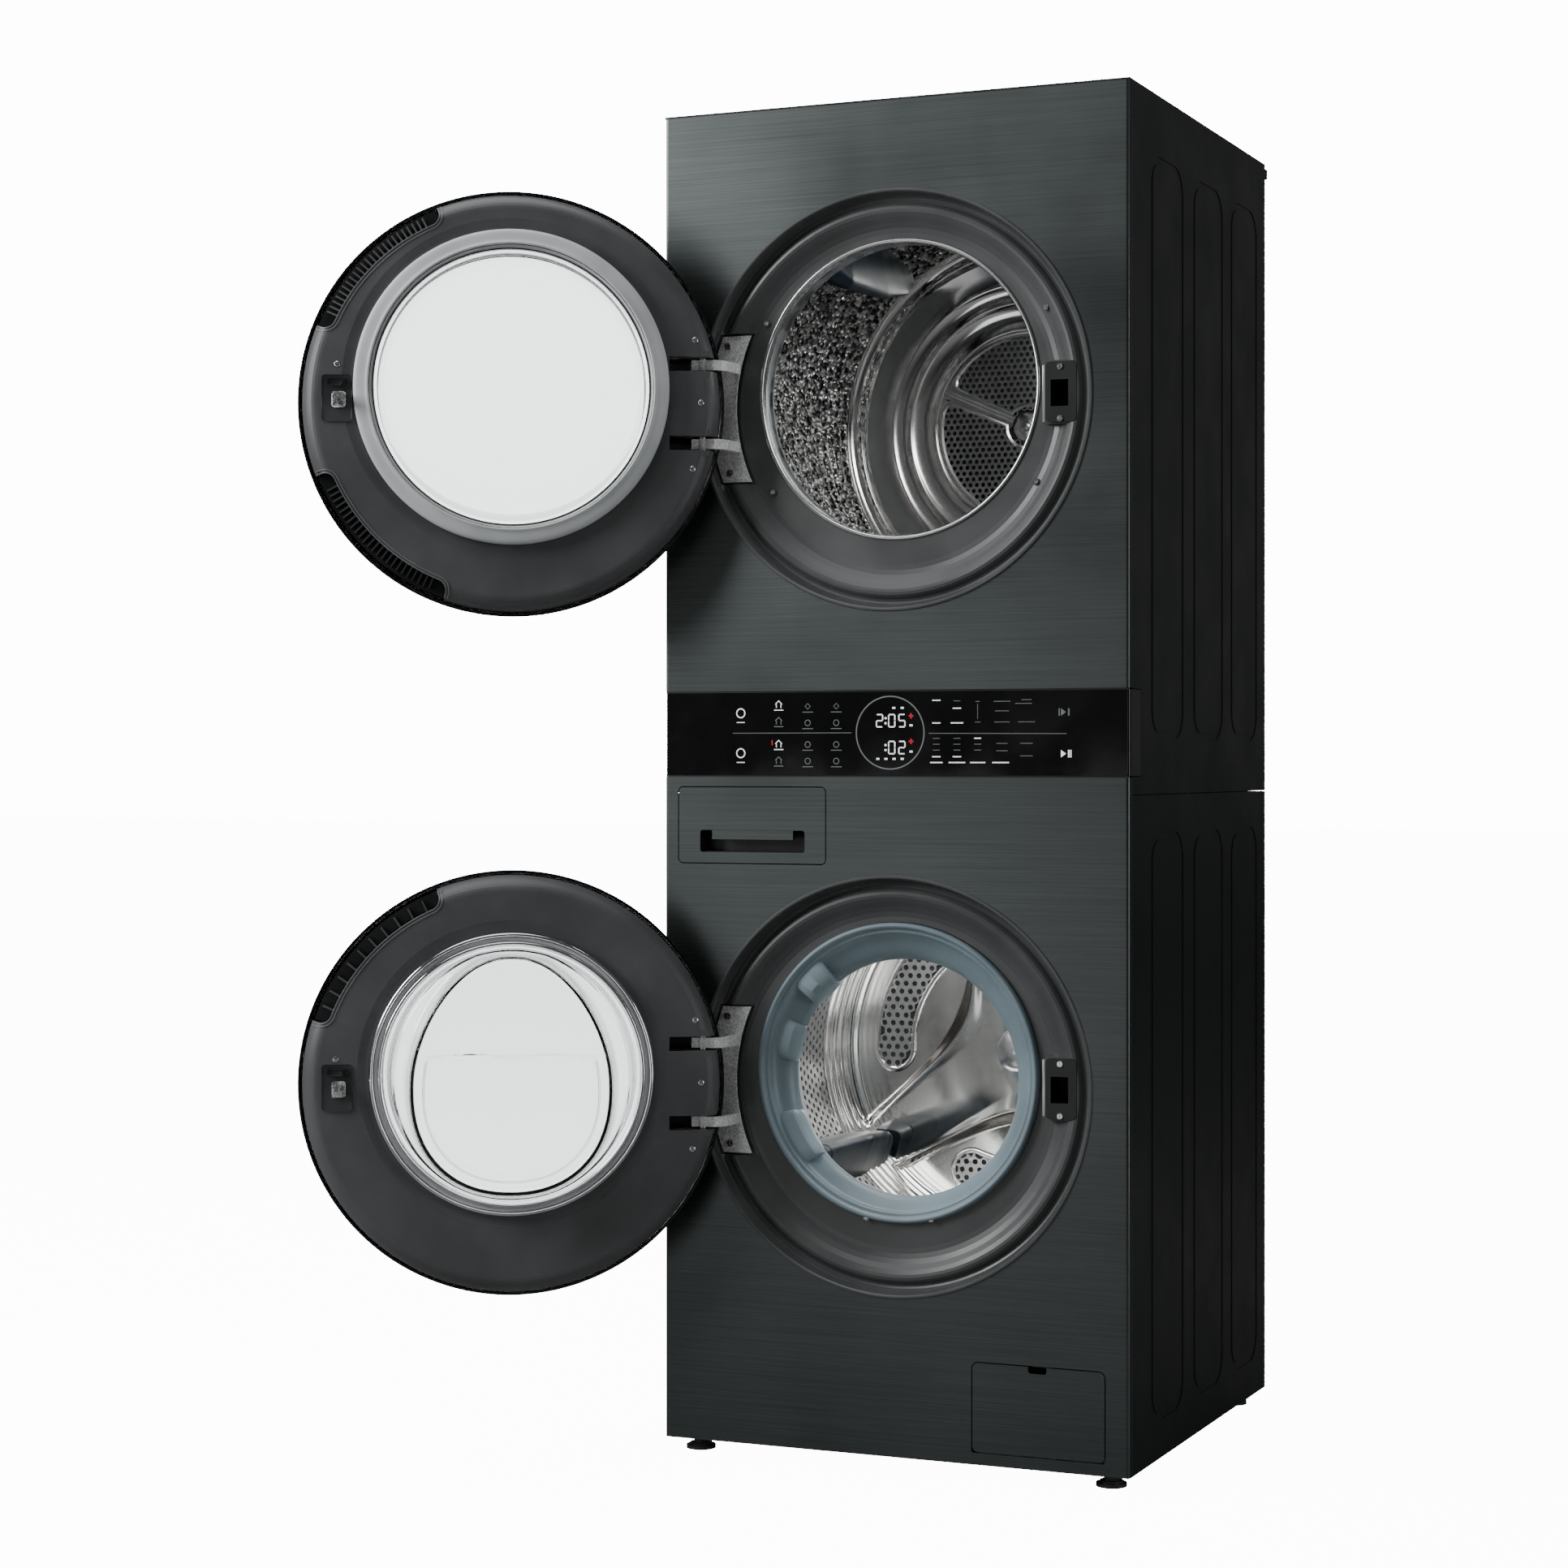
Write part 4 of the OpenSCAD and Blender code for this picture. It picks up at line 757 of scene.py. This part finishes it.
def gasket():
    section = [
        (208, 36), (208, 26), (207.6, 21.5), (205.5, 18.5), (202.5, 18.2), (200.6, 20), (199.2, 23.5),
        (197.6, 25), (195.2, 24.4), (193.5, 25.5), (192.2, 31), (189, 37), (183, 41.5), (177.5, 45),
        (171.6, 50), (167.4, 56), (164.6, 62), (165.4, 67.5), (170.4, 70.4), (177.4, 70.2), (182, 66),
        (186.4, 60), (190.5, 62), (192.4, 71), (190.6, 94.6), (194.7, 94.6), (194.7, 72), (197, 69),
        (197, 56), (193.4, 50.4), (189.4, 48.2), (191, 44.6), (197.4, 38), (201.4, 29), (204, 27.4),
        (205.4, 36),
    ]
    add_piece("gasket_bellows", sagged(turned(rounded(section), GASKET, 216)), "gasket_rubber", "cabinet",
              stands_for=["door_gasket"], split=60)
    pads, n = [], 14
    # Moulded pads on the inner fold: middle angle, half width in degrees, radii and depths.
    for a0, half, r0, r1, y0, y1 in ((135, 8, 155, 198, 27, 60), (165, 9, 157, 194, 36, 64),
                                     (210, 12, 157, 196, 33, 64)):
        rows = []
        for s in (-1 + 2 * i / n for i in range(n + 1)):
            tall = 1 - abs(s) ** 6
            outline = ((r1 + 2, y0 + 3), (r1, y0 - 3 * tall + 3), (r0 + 14, y0 + 6 - 5 * tall),
                       (r0 + 4 + 3 * (1 - tall), y0 + 14), (r0 + 3 + 4 * (1 - tall), y1 - 4),
                       (r0 + 8, y1), (r1, y1))
            rows += [polar(GASKET, r, radians(a0 + s * half), y) for r, y in outline]
        pads.append(sagged(capped(rows, len(outline))))
    # The pads' lighter rubber is painted light where they stand out from the fold.
    add_piece("gasket_pads", join(pads), "painted_light_gasket_pad", "cabinet", split=45, bevel=True)
    clips = [slab(soft_outline(x - 4, x + 4, z - 3, z + 3, 2.5), 20, 27, 0.8)
             for x, z in ((-44, 343), (52, 346))]
    add_piece("gasket_band_clips", join(clips), "steel_pin", "cabinet")


def dryer_mouth():
    section = [(208.3, 27.2), (207.6, 25.6), (205.8, 25.0), (203.6, 25.8), (202.6, 28), (202.2, 33),
               (201.2, 37), (203.6, 37.4), (206.6, 37.4), (208.3, 36.8)]
    ring = turned(rounded(section), (CENTRES["dryer"][0], DRYER_AXIS[1]), 240)
    add_piece("dryer_mouth_ring", ring, "mouth_steel", "cabinet", split=60)


# ---- doors
DOOR_R = (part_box("dryer_door_cover")[1].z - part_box("dryer_door_cover")[0].z) / 2 / MM
# Depths of a shut door's inner face and of the seam with its cover, and how far its ring is above its middle.
DOOR_IN, DOOR_MID = -14.0, -45.0
RING_UP = {"dryer": 20.0, "washer": 15.0}


def door_piece(door, name, part, material, **options):
    """A piece of a door: given as it lies on the shut door, and turned to where the door stands."""
    verts = [SWINGS[door] @ Vector(v) for v in part[0]]
    add_piece(door + "_" + name, (verts, part[1]), material, door + "_door", **options)


def disc(section, door, up=0.0, steps=192):
    """A turned door part whose centre is up above the door's middle."""
    return turned(section, (0.0, CENTRES[door][1] + up * MM), steps)


def door_cover(door, r):
    """The door's outer dish: an opaque rim with a clear pane of radius r in its middle."""
    m = DOOR_MID
    arc = [(DOOR_R - 20 * (1 - cos(radians(a))), m - 7 - 19 * sin(radians(a))) for a in range(0, 91, 10)]
    dish = [(DOOR_R - 3, m - 0.3), (DOOR_R, m - 0.3)] + arc + [
        (DOOR_R - 50, m - 27.6), (r + 8, m - 28.8), (r, m - 29), (r, m - 25.5), (r + 8, m - 25.4),
        (DOOR_R - 50, m - 24.2), (DOOR_R - 22, m - 22.5), (DOOR_R - 9, m - 17), (DOOR_R - 3, m - 7)]
    door_piece(door, "door_dish", disc(dish, door), "door_glass_black", stands_for=[door + "_door_cover"],
               split=35)
    pane = [(r - 0.2, m - 25.6), (r - 0.2, m - 28.9), (120, m - 29.5), (0, m - 30), (0, m - 26.5),
            (120, m - 26.2)]
    door_piece(door, "door_pane", disc(pane, door, steps=128), "clear_glass", split=30)


def raised(profile):
    """A profile of (radius, height above the door's inner face) as radius and depth."""
    return [(r, DOOR_IN + h) for r, h in profile]


def dryer_ring():
    up = RING_UP["dryer"]
    ring = [(218, 0.2), (218, 8), (217, 11), (215, 13), (211, 14.2), (206, 15), (201, 16), (198.4, 18),
            (196.6, 17.6), (195.8, 14), (194.6, 10), (192.8, 8), (190.8, 7), (190, 5), (190, -18),
            (193, -18), (193, 0.2)]
    door_piece("dryer", "window_ring", disc(rounded(raised(ring)), "dryer", up), "ring_silver",
               stands_for=["dryer_door_ring"], split=50)
    glass = [(189.6, -2), (189.6, 2), (187, 5), (182, 8), (174, 10), (160, 11.5), (140, 12.4), (90, 13.4),
             (0, 14), (0, 11), (90, 10.4), (140, 9.4), (160, 8.2), (172, 6.4), (180, 3.6), (184, -2)]
    door_piece("dryer", "window_glass", disc(raised(glass), "dryer", up), "clear_glass",
               stands_for=["dryer_door_glass"], split=40)
    # Thin dark rings: the outer two are painted shade in the gap round the ring and in its groove, the inner one
    # the dark seal round the glass.
    lines = [disc(raised([(r - wide, -0.4), (r - wide, h), (r, h), (r, -0.4)]), "dryer", up)
             for r, h, wide in ((218.6, 1.4, 1.4), (196.2, 15.4, 0.9), (191.4, 8.6, 1.5))]
    door_piece("dryer", "ring_lines", join(lines), "black_plastic")


def washer_ring():
    bands = (
        ("outer", "ring_chrome", [(197, 0.2), (197, 5), (195.6, 8), (193, 9.6), (190.6, 8.6), (190, 5),
                                  (190, 0.2)]),
        ("inner", "ring_chrome", [(184.4, 0.2), (184.4, 9), (183, 11.6), (180.4, 12), (178, 10.4),
                                  (176.2, 8), (176.2, -23), (178.4, -23), (178.4, 0.2)]),
        ("groove", "ring_silver", [(190, 0.4), (190, 6.4), (187.4, 5.2), (184.4, 6.6), (184.4, 0.4)]),
    )
    for name, material, band in bands:
        part = disc(rounded(raised(band)), "washer", RING_UP["washer"])
        door_piece("washer", "ring_" + name, part, material,
                   stands_for=["washer_door_ring"] if name == "outer" else (), split=50)


# Height above the bowl's centre at which its face bends, and the bowl's greatest height.
BOWL_CREASE, BOWL_TOP = 34.0, 74


def egg_radius(a):
    """Outline of the bowl's raised front: narrow at the top, wide below."""
    up = sin(a)
    wide = 140 - 8 * up
    tall = 170 if up > 0 else 163
    power = 1.9 if up > 0 else 2.2
    x, z = abs(cos(a)) / wide, abs(up) / tall
    return 1 / (x ** power + z ** power) ** (1 / power)


def bowl_height(z):
    """How far the bowl's face stands from the door's inner face, at a height above the bowl's centre."""
    if z > BOWL_CREASE:
        return BOWL_TOP - 24 * ((z - BOWL_CREASE) / 132) ** 1.35
    return BOWL_TOP - 0.00035 * (z - BOWL_CREASE) ** 2


def washer_bowl():
    steps = 192
    centre = (0.0, CENTRES["washer"][1] + RING_UP["washer"] * MM)
    verts = []
    rows = [("skirt", k / 7) for k in range(8)] + [("wall", k / 14) for k in range(1, 15)]
    rows += [("face", k / 34) for k in range(1, 34)]
    for kind, t in rows:
        for j in range(steps):
            a = 2 * pi * j / steps
            edge = egg_radius(a)
            foot, top = min(edge + 5, 169), edge - 6
            if kind == "skirt":
                r = 175.2 + (foot - 175.2) * t ** 1.2
                h = -20 + (20 + 14) * min(t * 2.2, 1) + 9 * t * t
            elif kind == "wall":
                r = foot + (top - foot) * (t ** 0.85)
                h = 23 + (bowl_height(top * sin(a)) - 3 - 23) * (1 - (1 - t) ** 1.9)
            else:
                r = top * (1 - t)
                h = bowl_height(r * sin(a)) - 3 * (1 - min(t * 5, 1)) ** 2
                # The face's lower half is a little sunk inside its edge.
                h -= 7.0 * step(top - r, 13, 18) * step(BOWL_CREASE - sin(a) * r, 0, 5)
            verts.append(polar(centre, r, a, DOOR_IN + h))
    verts.append(polar(centre, 0, 0, DOOR_IN + bowl_height(0) - 7))
    faces = grid_faces(len(rows), steps, True)
    last = (len(rows) - 1) * steps
    faces += [(last + j, last + (j + 1) % steps, len(verts) - 1) for j in range(steps)]
    door_piece("washer", "clear_bowl", (verts, faces), "bowl_glass", stands_for=["washer_door_bowl"],
               split=180, thick=4)
    rib = []
    for a in (radians(12 - 204 * k / 96) for k in range(97)):
        r = egg_radius(a) - 21
        h = bowl_height(r * sin(a)) - 3.4
        rib += [polar(centre, r + 1.5 * cos(t), a, DOOR_IN + h + 1.5 * sin(t))
                for t in (pi * k / 4 for k in range(8))]
    door_piece("washer", "bowl_rib", capped(rib, 8), "bowl_glass", split=60)


def screw_head(x, z, y, r):
    """A small domed screw head that faces into the machine when the door is shut."""
    section = [(0, 0.2), (0.28 * r, 0.2), (0.34 * r, 1.1), (0.75 * r, 0.9), (r, 0.3), (r, -1.0), (0, -1.0)]
    return turned([(a, y + h) for a, h in section], (x * MM, z * MM), 20, ring=False)


def door_fittings(door, lock_up, lock_screw):
    """Screws, latch plate, catch and hook of one door; the lock's height is above the door's middle."""
    i, zc = DOOR_IN, CENTRES[door][1] / MM
    zl = zc + lock_up
    screws = [screw_head(x, zc + z, i, 4.0) for x, z in ((-254, 88), (-262, 1), (-250, -91), lock_screw)]
    door_piece(door, "door_screws", join(screws), "steel_pin", split=30)
    plate = slab(soft_outline(219.5, 261, zl - 29, zl + 35, 5), i + 1.4, i - 0.5, 0.8)
    door_piece(door, "latch_plate", plate, "latch_black", split=30, stands_for=[door + "_door_strike"])
    catch = [slab(soft_outline(233, 253, zl + 20, zl + 29, 3), i + 6, i + 1, 1.2),
             slab(soft_outline(225, 230, zl + 16, zl + 29, 2), i + 4, i + 1, 1.0)]
    door_piece(door, "latch_lever", join(catch), "black_plastic", split=30)
    z0, z1 = (zl - 7.5) * MM, (zl + 8.5) * MM
    hook = [brick(231 * MM, 237 * MM, deep(i - 10), deep(i + 29), z0, z1),
            brick(237 * MM, 245 * MM, deep(i + 24), deep(i + 29), z0, z1),
            slab(soft_outline(228, 247, zl - 10, zl + 12, 4), i + 2.6, i + 1.2, 0.6)]
    door_piece(door, "latch_hook", join(hook), "hook_steel", split=30, bevel=True)


# A finger grip: radii of its inner edge and of its open end, and the one at which lengths become angles.
GRIP_IN, GRIP_OUT, GRIP_MEAN = 266.0, 287, 274
GRIP_CORNER = 15
GRIP_FLOOR = 268


def grip_line(low, high, out):
    """Radius and angle along a line round a grip between two angles, out beyond its edge."""
    slip, turn, corner_a = out / 280, GRIP_CORNER + out, GRIP_CORNER / GRIP_MEAN
    corner = [(GRIP_IN + GRIP_CORNER - turn * sin(t), turn * (1 - cos(t)) / GRIP_MEAN - slip)
              for t in (radians(7.5 * k) for k in range(13))]
    side = [(GRIP_IN - out, low + corner_a + (high - low - 2 * corner_a) * k / 40) for k in range(1, 40)]
    return ([(GRIP_OUT, low - slip)] + [(r, low + a) for r, a in corner] + side
            + [(r, high - a) for r, a in reversed(corner)] + [(GRIP_OUT, high + slip)])


def grip_trim(door, spans, ribs):
    """Two thin light lines round each finger grip, painted highlights on its edges, and its floor and the ribs in
    it.
    """
    i, centre = DOOR_IN, (0.0, CENTRES[door][1])
    highlight_lines, floors, bars = [], [], []
    for a0, a1 in spans:
        low, high = radians(a0), radians(a1)
        # Two light lines along each grip's edges, as painted highlights.
        for out in (0.0, 4.2):
            line = grip_line(low, high, out)
            verts = []
            for k, (r, a) in enumerate(line):
                before, after = line[max(k - 1, 0)], line[min(k + 1, len(line) - 1)]
                along = Vector((after[0] - before[0], (after[1] - before[1]) * GRIP_MEAN)).normalized()
                drop = 9.0 * step(r, 270, 289)
                for w, h in ((-0.8, 0.0), (-0.5, 0.9), (0.5, 0.9), (0.8, 0.0), (0.8, -2), (-0.8, -2)):
                    verts.append(polar(centre, r - along[1] * w, a + along[0] * w / GRIP_MEAN, i + h - drop))
            highlight_lines.append(capped(verts, 6))
        edges = ((GRIP_FLOOR, -24), (GRIP_OUT, -24), (GRIP_OUT, -28), (GRIP_FLOOR, -28))
        angles = [radians(a0 + 0.5 + (a1 - a0 - 1) * k / 40) for k in range(41)]
        floors.append(capped([polar(centre, r, a, i + h) for a in angles for r, h in edges], 4))
        for k in range(ribs):
            a = radians(a0 + 5 + (a1 - a0 - 10) * k / (ribs - 1))
            bars.append(capped([beside(centre, r, w, a, i + h) for w in (-1.3, 1.3)
                                for r, h in ((267, -6), (283, -13), (283, -25), (267, -25))], 4))
    door_piece(door, "grip_highlight_lines", join(highlight_lines), "grip_edge_highlight", split=40)
    door_piece(door, "grip_floors", join(floors), "black_plastic", split=40)
    door_piece(door, "grip_ribs", join(bars), "black_plastic", split=40)


# ---- beads painted light as highlights, and dark linings painted as shade, on the front
def bezel_highlight_bead(door, strip_up):
    """The bead at the bezel's mouth, painted light as a highlight along the bezel's edge, and the raised strip
    beside the latch in the same light colour.
    """
    section = [(287.4, 2.0), (287.6, -0.4), (289.2, -1.2), (290.8, -0.4), (291.0, 2.0)]
    # The bead is painted light: a painted highlight on the bezel's outer edge.
    bead = turned(rounded(section), CENTRES[door], 240)
    add_piece(door + "_bezel_highlight_bead", bead, "bead_painted_highlight", "cabinet", split=60)
    zc = CENTRES[door][1] / MM + strip_up
    strip = slab(soft_outline(212.5, 216, zc - 38, zc + 40, 1.4), 23.6, 27.6, 1.0)
    add_piece(door + "_latch_strip", strip, "bead_painted_highlight", "cabinet", split=40)


def pump_surround():
    """A dark lining behind the gap round the pump cover, painted shade in the gap."""
    low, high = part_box("pump_cover")
    y0, y1, z0, z1 = low.y + 11 * MM, low.y + 13 * MM, low.z + 14 * MM, high.z + 7 * MM
    strips = [brick(low.x - 7 * MM, low.x + 2.5 * MM, y0, y1, z0, z1),
              brick(high.x - 2.5 * MM, high.x + 7 * MM, y0, y1, z0, z1),
              brick(low.x + 2.6 * MM, high.x - 2.6 * MM, y0, y1, high.z - 2 * MM, z1)]
    add_piece("pump_gap_shade_lining", join(strips), "black_plastic", "cabinet")


def band_seams():
    """Dark linings behind the two seams of the control band, painted shade in the seams."""
    band_low, band_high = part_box("control_housing")
    seams = ((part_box("lower_front_panel")[1].z, band_low.z), (band_high.z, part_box("upper_front_panel")[0].z))
    strips = [brick(band_low.x + 1.6 * MM, band_high.x - 1.6 * MM, deep(1.6), deep(7), low - 0.6 * MM,
                    high + 0.6 * MM) for low, high in seams]
    add_piece("band_seam_shade_linings", join(strips), "black_plastic", "cabinet")


def drawer_recess():
    """A black lining of the drawer's finger slot, painted shade in the recess."""
    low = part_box("detergent_drawer")[0]
    x0, x1, z0, z1 = low.x + 33 * MM, low.x + 193 * MM, low.z + 15 * MM, low.z + 46 * MM
    y0, y1, t = deep(6.5), deep(28), 0.7 * MM
    walls = [brick(x0, x1, y1, y1 + t, z0, z1), brick(x0, x0 + t, y0, y1, z0, z1),
             brick(x1 - t, x1, y0, y1, z0, z1), brick(x0 + t, x1 - t, y0, y1, z0, z0 + t),
             brick(x0 + t, x1 - t, deep(14.5), y1, z1 - t, z1)]
    add_piece("drawer_slot_shade_lining", join(walls), "black_plastic", "drawer")


dryer_wall()
dryer_back()
dryer_lifters()
wash_back()
leg_sides()
wash_wall()
wash_lifters()
gasket()
pump_surround()
band_seams()
drawer_recess()
dryer_mouth()
door_cover("dryer", 222)
door_cover("washer", 196)
dryer_ring()
washer_ring()
washer_bowl()
door_fittings("dryer", 0, (240, 50))
bezel_highlight_bead("dryer", 0)
door_fittings("washer", -5, (242, 37))
bezel_highlight_bead("washer", 4)
grip_trim("dryer", ((21, 69), (-71, -21)), 24)
grip_trim("washer", ((18, 69),), 10)

# ---- marks on the touch glass
SEGMENTS = {"0": "abcdef", "2": "abdeg", "5": "acdfg"}
PANEL = (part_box("control_glass")[0].y - FRONT_Y) / MM
MARK_FRONT, MARK_BACK = PANEL - 0.25, PANEL + 0.15


def stroke(x0, z0, x1, z1, width):
    """A thin straight bar on the glass between two points."""
    length = hypot(x1 - x0, z1 - z0)
    sx, sz = (z0 - z1) / length * width / 2, (x1 - x0) / length * width / 2
    outline = [(x0 + sx, z0 + sz), (x0 - sx, z0 - sz), (x1 - sx, z1 - sz), (x1 + sx, z1 + sz)]
    return slab(outline, MARK_FRONT, MARK_BACK)


def hoop(x, z, r, width, steps=48):
    inner, outer = r - width / 2, r + width / 2
    section = [(inner, MARK_BACK), (inner, MARK_FRONT), (outer, MARK_FRONT), (outer, MARK_BACK)]
    return turned(section, (x * MM, z * MM), steps)


def digit(figure, x, z, wide=9, tall=17, width=1.7):
    """One figure of seven bars, with its lower left corner at x, z."""
    half = tall / 2
    bars = {"a": (0, tall, wide, tall), "b": (wide, half, wide, tall), "c": (wide, 0, wide, half),
            "d": (0, 0, wide, 0), "e": (0, 0, 0, half), "f": (0, half, 0, tall), "g": (0, half, wide, half)}
    gap = width * 0.35
    made = []
    for name in SEGMENTS[figure]:
        x0, z0, x1, z1 = bars[name]
        gx, gz = (gap, 0) if z0 == z1 else (0, gap)
        made.append(stroke(x + x0 + gx, z + z0 + gz, x + x1 - gx, z + z1 - gz, width))
    return made


def panel_marks():
    bright, dim, red = [], [], []
    dim.append(stroke(-237, 1016, -57, 1016, 0.9))
    dim.append(stroke(57, 1015, 255, 1014, 0.9))
    dim.append(hoop(0, 1016, 50, 1.8, 96))
    for z in (1044, 988):
        bright.append(hoop(-225, z, 6.2, 1.5))
        bright.append(stroke(-231, z - 13, -219, z - 13, 1.1))
    for z, kind in ((1056, bright), (1001, bright), (1033, dim), (978, dim)):
        for x0, z0, x1, z1, width in ((-172, 0, -167, 5, 1.1), (-167, 5, -162, 0, 1.1),
                                      (-170.5, 0, -170.5, -5, 1.1), (-163.5, 0, -163.5, -5, 1.1),
                                      (-174, -8, -160, -8, 1.2)):
            kind.append(stroke(x0, z + z0, x1, z + z1, width))
    for x in (-123, -80):
        for z in (1053, 1030, 1000, 977):
            dim.append(hoop(x, z, 4, 1.0, 4 if z > 1040 else 16))
            dim.append(stroke(x - 8, z - 8, x + 8, z - 8, 1.1))
    for z, figures in ((1024, (("2", -20), ("0", -2), ("5", 13))), (987, (("0", -2), ("2", 13)))):
        for figure, x in figures:
            bright += digit(figure, x, z)
        bright += [hoop(-6.6, z + up, 0.9, 1.6, 8) for up in (5, 12)]
    for x, z in ((5.5, 1050), (18, 1050), (31, 1026), (31, 990), (-18, 980), (-6, 980), (6, 980), (18, 980)):
        bright.append(stroke(x - 2.2, z, x + 2.2, z, 2.6))
    for z in (1039, 1004):
        red += [stroke(27.5, z, 34.5, z, 2.0), stroke(31, z - 3.5, 31, z + 3.5, 2.4)]
    red.append(stroke(-177, 999, -177, 1006, 1.6))
    lit = ((68, 1060, 12), (68, 1029, 12), (68, 983, 12), (68, 975, 18), (98, 1049, 12), (98, 1029, 18),
           (98, 983, 12), (98, 975, 24), (128, 1008, 10), (128, 975, 22), (161, 975, 24))
    faint = ((194, 1055, 24), (198, 1030, 24), (198, 1001, 18), (198, 984, 18), (163, 1058, 24),
             (163, 1045, 20), (163, 1030, 22), (163, 1001, 16), (163, 991, 16), (98, 1059, 10),
             (98, 1008, 10), (98, 1000, 10), (98, 992, 10), (68, 1008, 10), (68, 1000, 10), (68, 992, 10),
             (128, 1000, 10), (128, 992, 10), (128, 1058, 6), (128, 1030, 8), (198, 1060, 14))
    for kind, marks, width in ((bright, lit, 1.5), (dim, faint, 0.9)):
        kind += [stroke(x - wide / 2, z, x + wide / 2, z, width) for x, z, wide in marks]
    dim.append(stroke(128, 1034, 128, 1055, 0.7))
    for z, kind, bar_x in ((1043, dim, 244.5), (987, bright, 261)):
        kind.append(stroke(258, z - 5, 258, z + 5, 2.0))
        kind.append(slab([(247, z - 5), (247, z + 5), (254, z)], MARK_FRONT, MARK_BACK))
        kind.append(stroke(bar_x, z - 5, bar_x, z + 5, 1.6))
    for name, parts in (("bright", bright), ("dim", dim), ("red", red)):
        add_piece("panel_marks_" + name, join(parts), "marks_" + name, "cabinet", split=0)


panel_marks()


# ---- stage and light
WHITE_SEEN, WHITE_THROUGH = 14.0, 3.4
WHITE_SHED = 0.09


def white_strength(tree, path, base):
    """How bright white is: base, with more of it looked at directly and somewhat more through glass."""
    total = base
    for output, power in (("Is Camera Ray", WHITE_SEEN), ("Is Transmission Ray", WHITE_THROUGH)):
        total = combine(tree, "MULTIPLY_ADD", path.outputs[output], power, total)
    return total


def make_stage():
    """A pale floor: bright to look at, and dull in the steel's reflections."""
    bm = bmesh.new()
    bmesh.ops.create_grid(bm, x_segments=1, y_segments=1, size=40)
    data = bpy.data.meshes.new("floor")
    bm.to_mesh(data)
    bm.free()
    floor = bpy.data.objects.new("floor", data)
    bpy.context.scene.collection.objects.link(floor)
    paint = Paint("floor_paint", (0.82, 0.82, 0.82), 0.7)
    paint.tint(paint.noise(0.6, detail=2), 0.98, 1.02)
    paint.shader.inputs["Emission Color"].default_value = (1, 1, 1, 1)
    dull = paint.node("ShaderNodeBsdfDiffuse", Color=(0.22, 0.22, 0.22, 1))
    path = paint.node("ShaderNodeLightPath")
    paint.link(white_strength(paint.tree, path, -0.9), paint.shader.inputs["Emission Strength"])
    seen = combine(paint.tree, "MAXIMUM", path.outputs["Is Camera Ray"], path.outputs["Is Transmission Ray"])
    mix = paint.node("ShaderNodeMixShader")
    paint.link(seen, mix.inputs["Fac"])
    paint.link(dull.outputs["BSDF"], mix.inputs[1])
    paint.link(paint.shader.outputs["BSDF"], mix.inputs[2])
    paint.link(mix.outputs["Shader"], paint.tree.nodes["Material Output"].inputs["Surface"])
    floor.data.materials.append(paint.material)


def area_light(name, at, aim, size, power):
    data = bpy.data.lights.new(name, "AREA")
    data.shape = "RECTANGLE"
    data.size, data.size_y = size
    data.energy = power
    light = bpy.data.objects.new(name, data)
    light.location = at
    light.rotation_euler = (Vector(aim) - Vector(at)).to_track_quat("-Z", "Y").to_euler()
    bpy.context.scene.collection.objects.link(light)


def make_light():
    """A white surround to look at, a weak one to light by, four soft boxes and a lamp before each drum."""
    world = bpy.data.worlds.new("studio")
    world.use_nodes = True
    tree = world.node_tree
    background = tree.nodes["Background"]
    background.inputs["Color"].default_value = (1, 1, 1, 1)
    path = tree.nodes.new("ShaderNodeLightPath")
    tree.links.new(white_strength(tree, path, WHITE_SHED), background.inputs["Strength"])
    bpy.context.scene.world = world
    area_light("overhead", (-1.0, -1.2, 4.6), (-1.0, -1.2, 0), (3.2, 4), 105)
    area_light("key", (-3.45, -3.15, 2.85), (0, 0, 1.3), (1.5, 2.4), 185)
    area_light("side_strip", (3.4, -1.0, 0.8), (0.3, 0, 0.6), (0.5, 2.4), 24)
    area_light("front_low", (-1.2, -3.6, 0.5), (0, 0, 0.9), (1.2, 0.8), 4)
    area_light("dryer_lamp", (0.16, FRONT_Y + 0.13, DRYER_AXIS[1] + 0.14),
               (-0.1, FRONT_Y + 0.5, DRYER_AXIS[1] - 0.1), (0.3, 0.1), 1.0)
    area_light("washer_lamp", (0.0, FRONT_Y + 0.16, WASH_AXIS[1] + 0.19),
               (0, FRONT_Y + 0.5, WASH_AXIS[1] - 0.1), (0.3, 0.12), 1.9)


make_stage()
make_light()
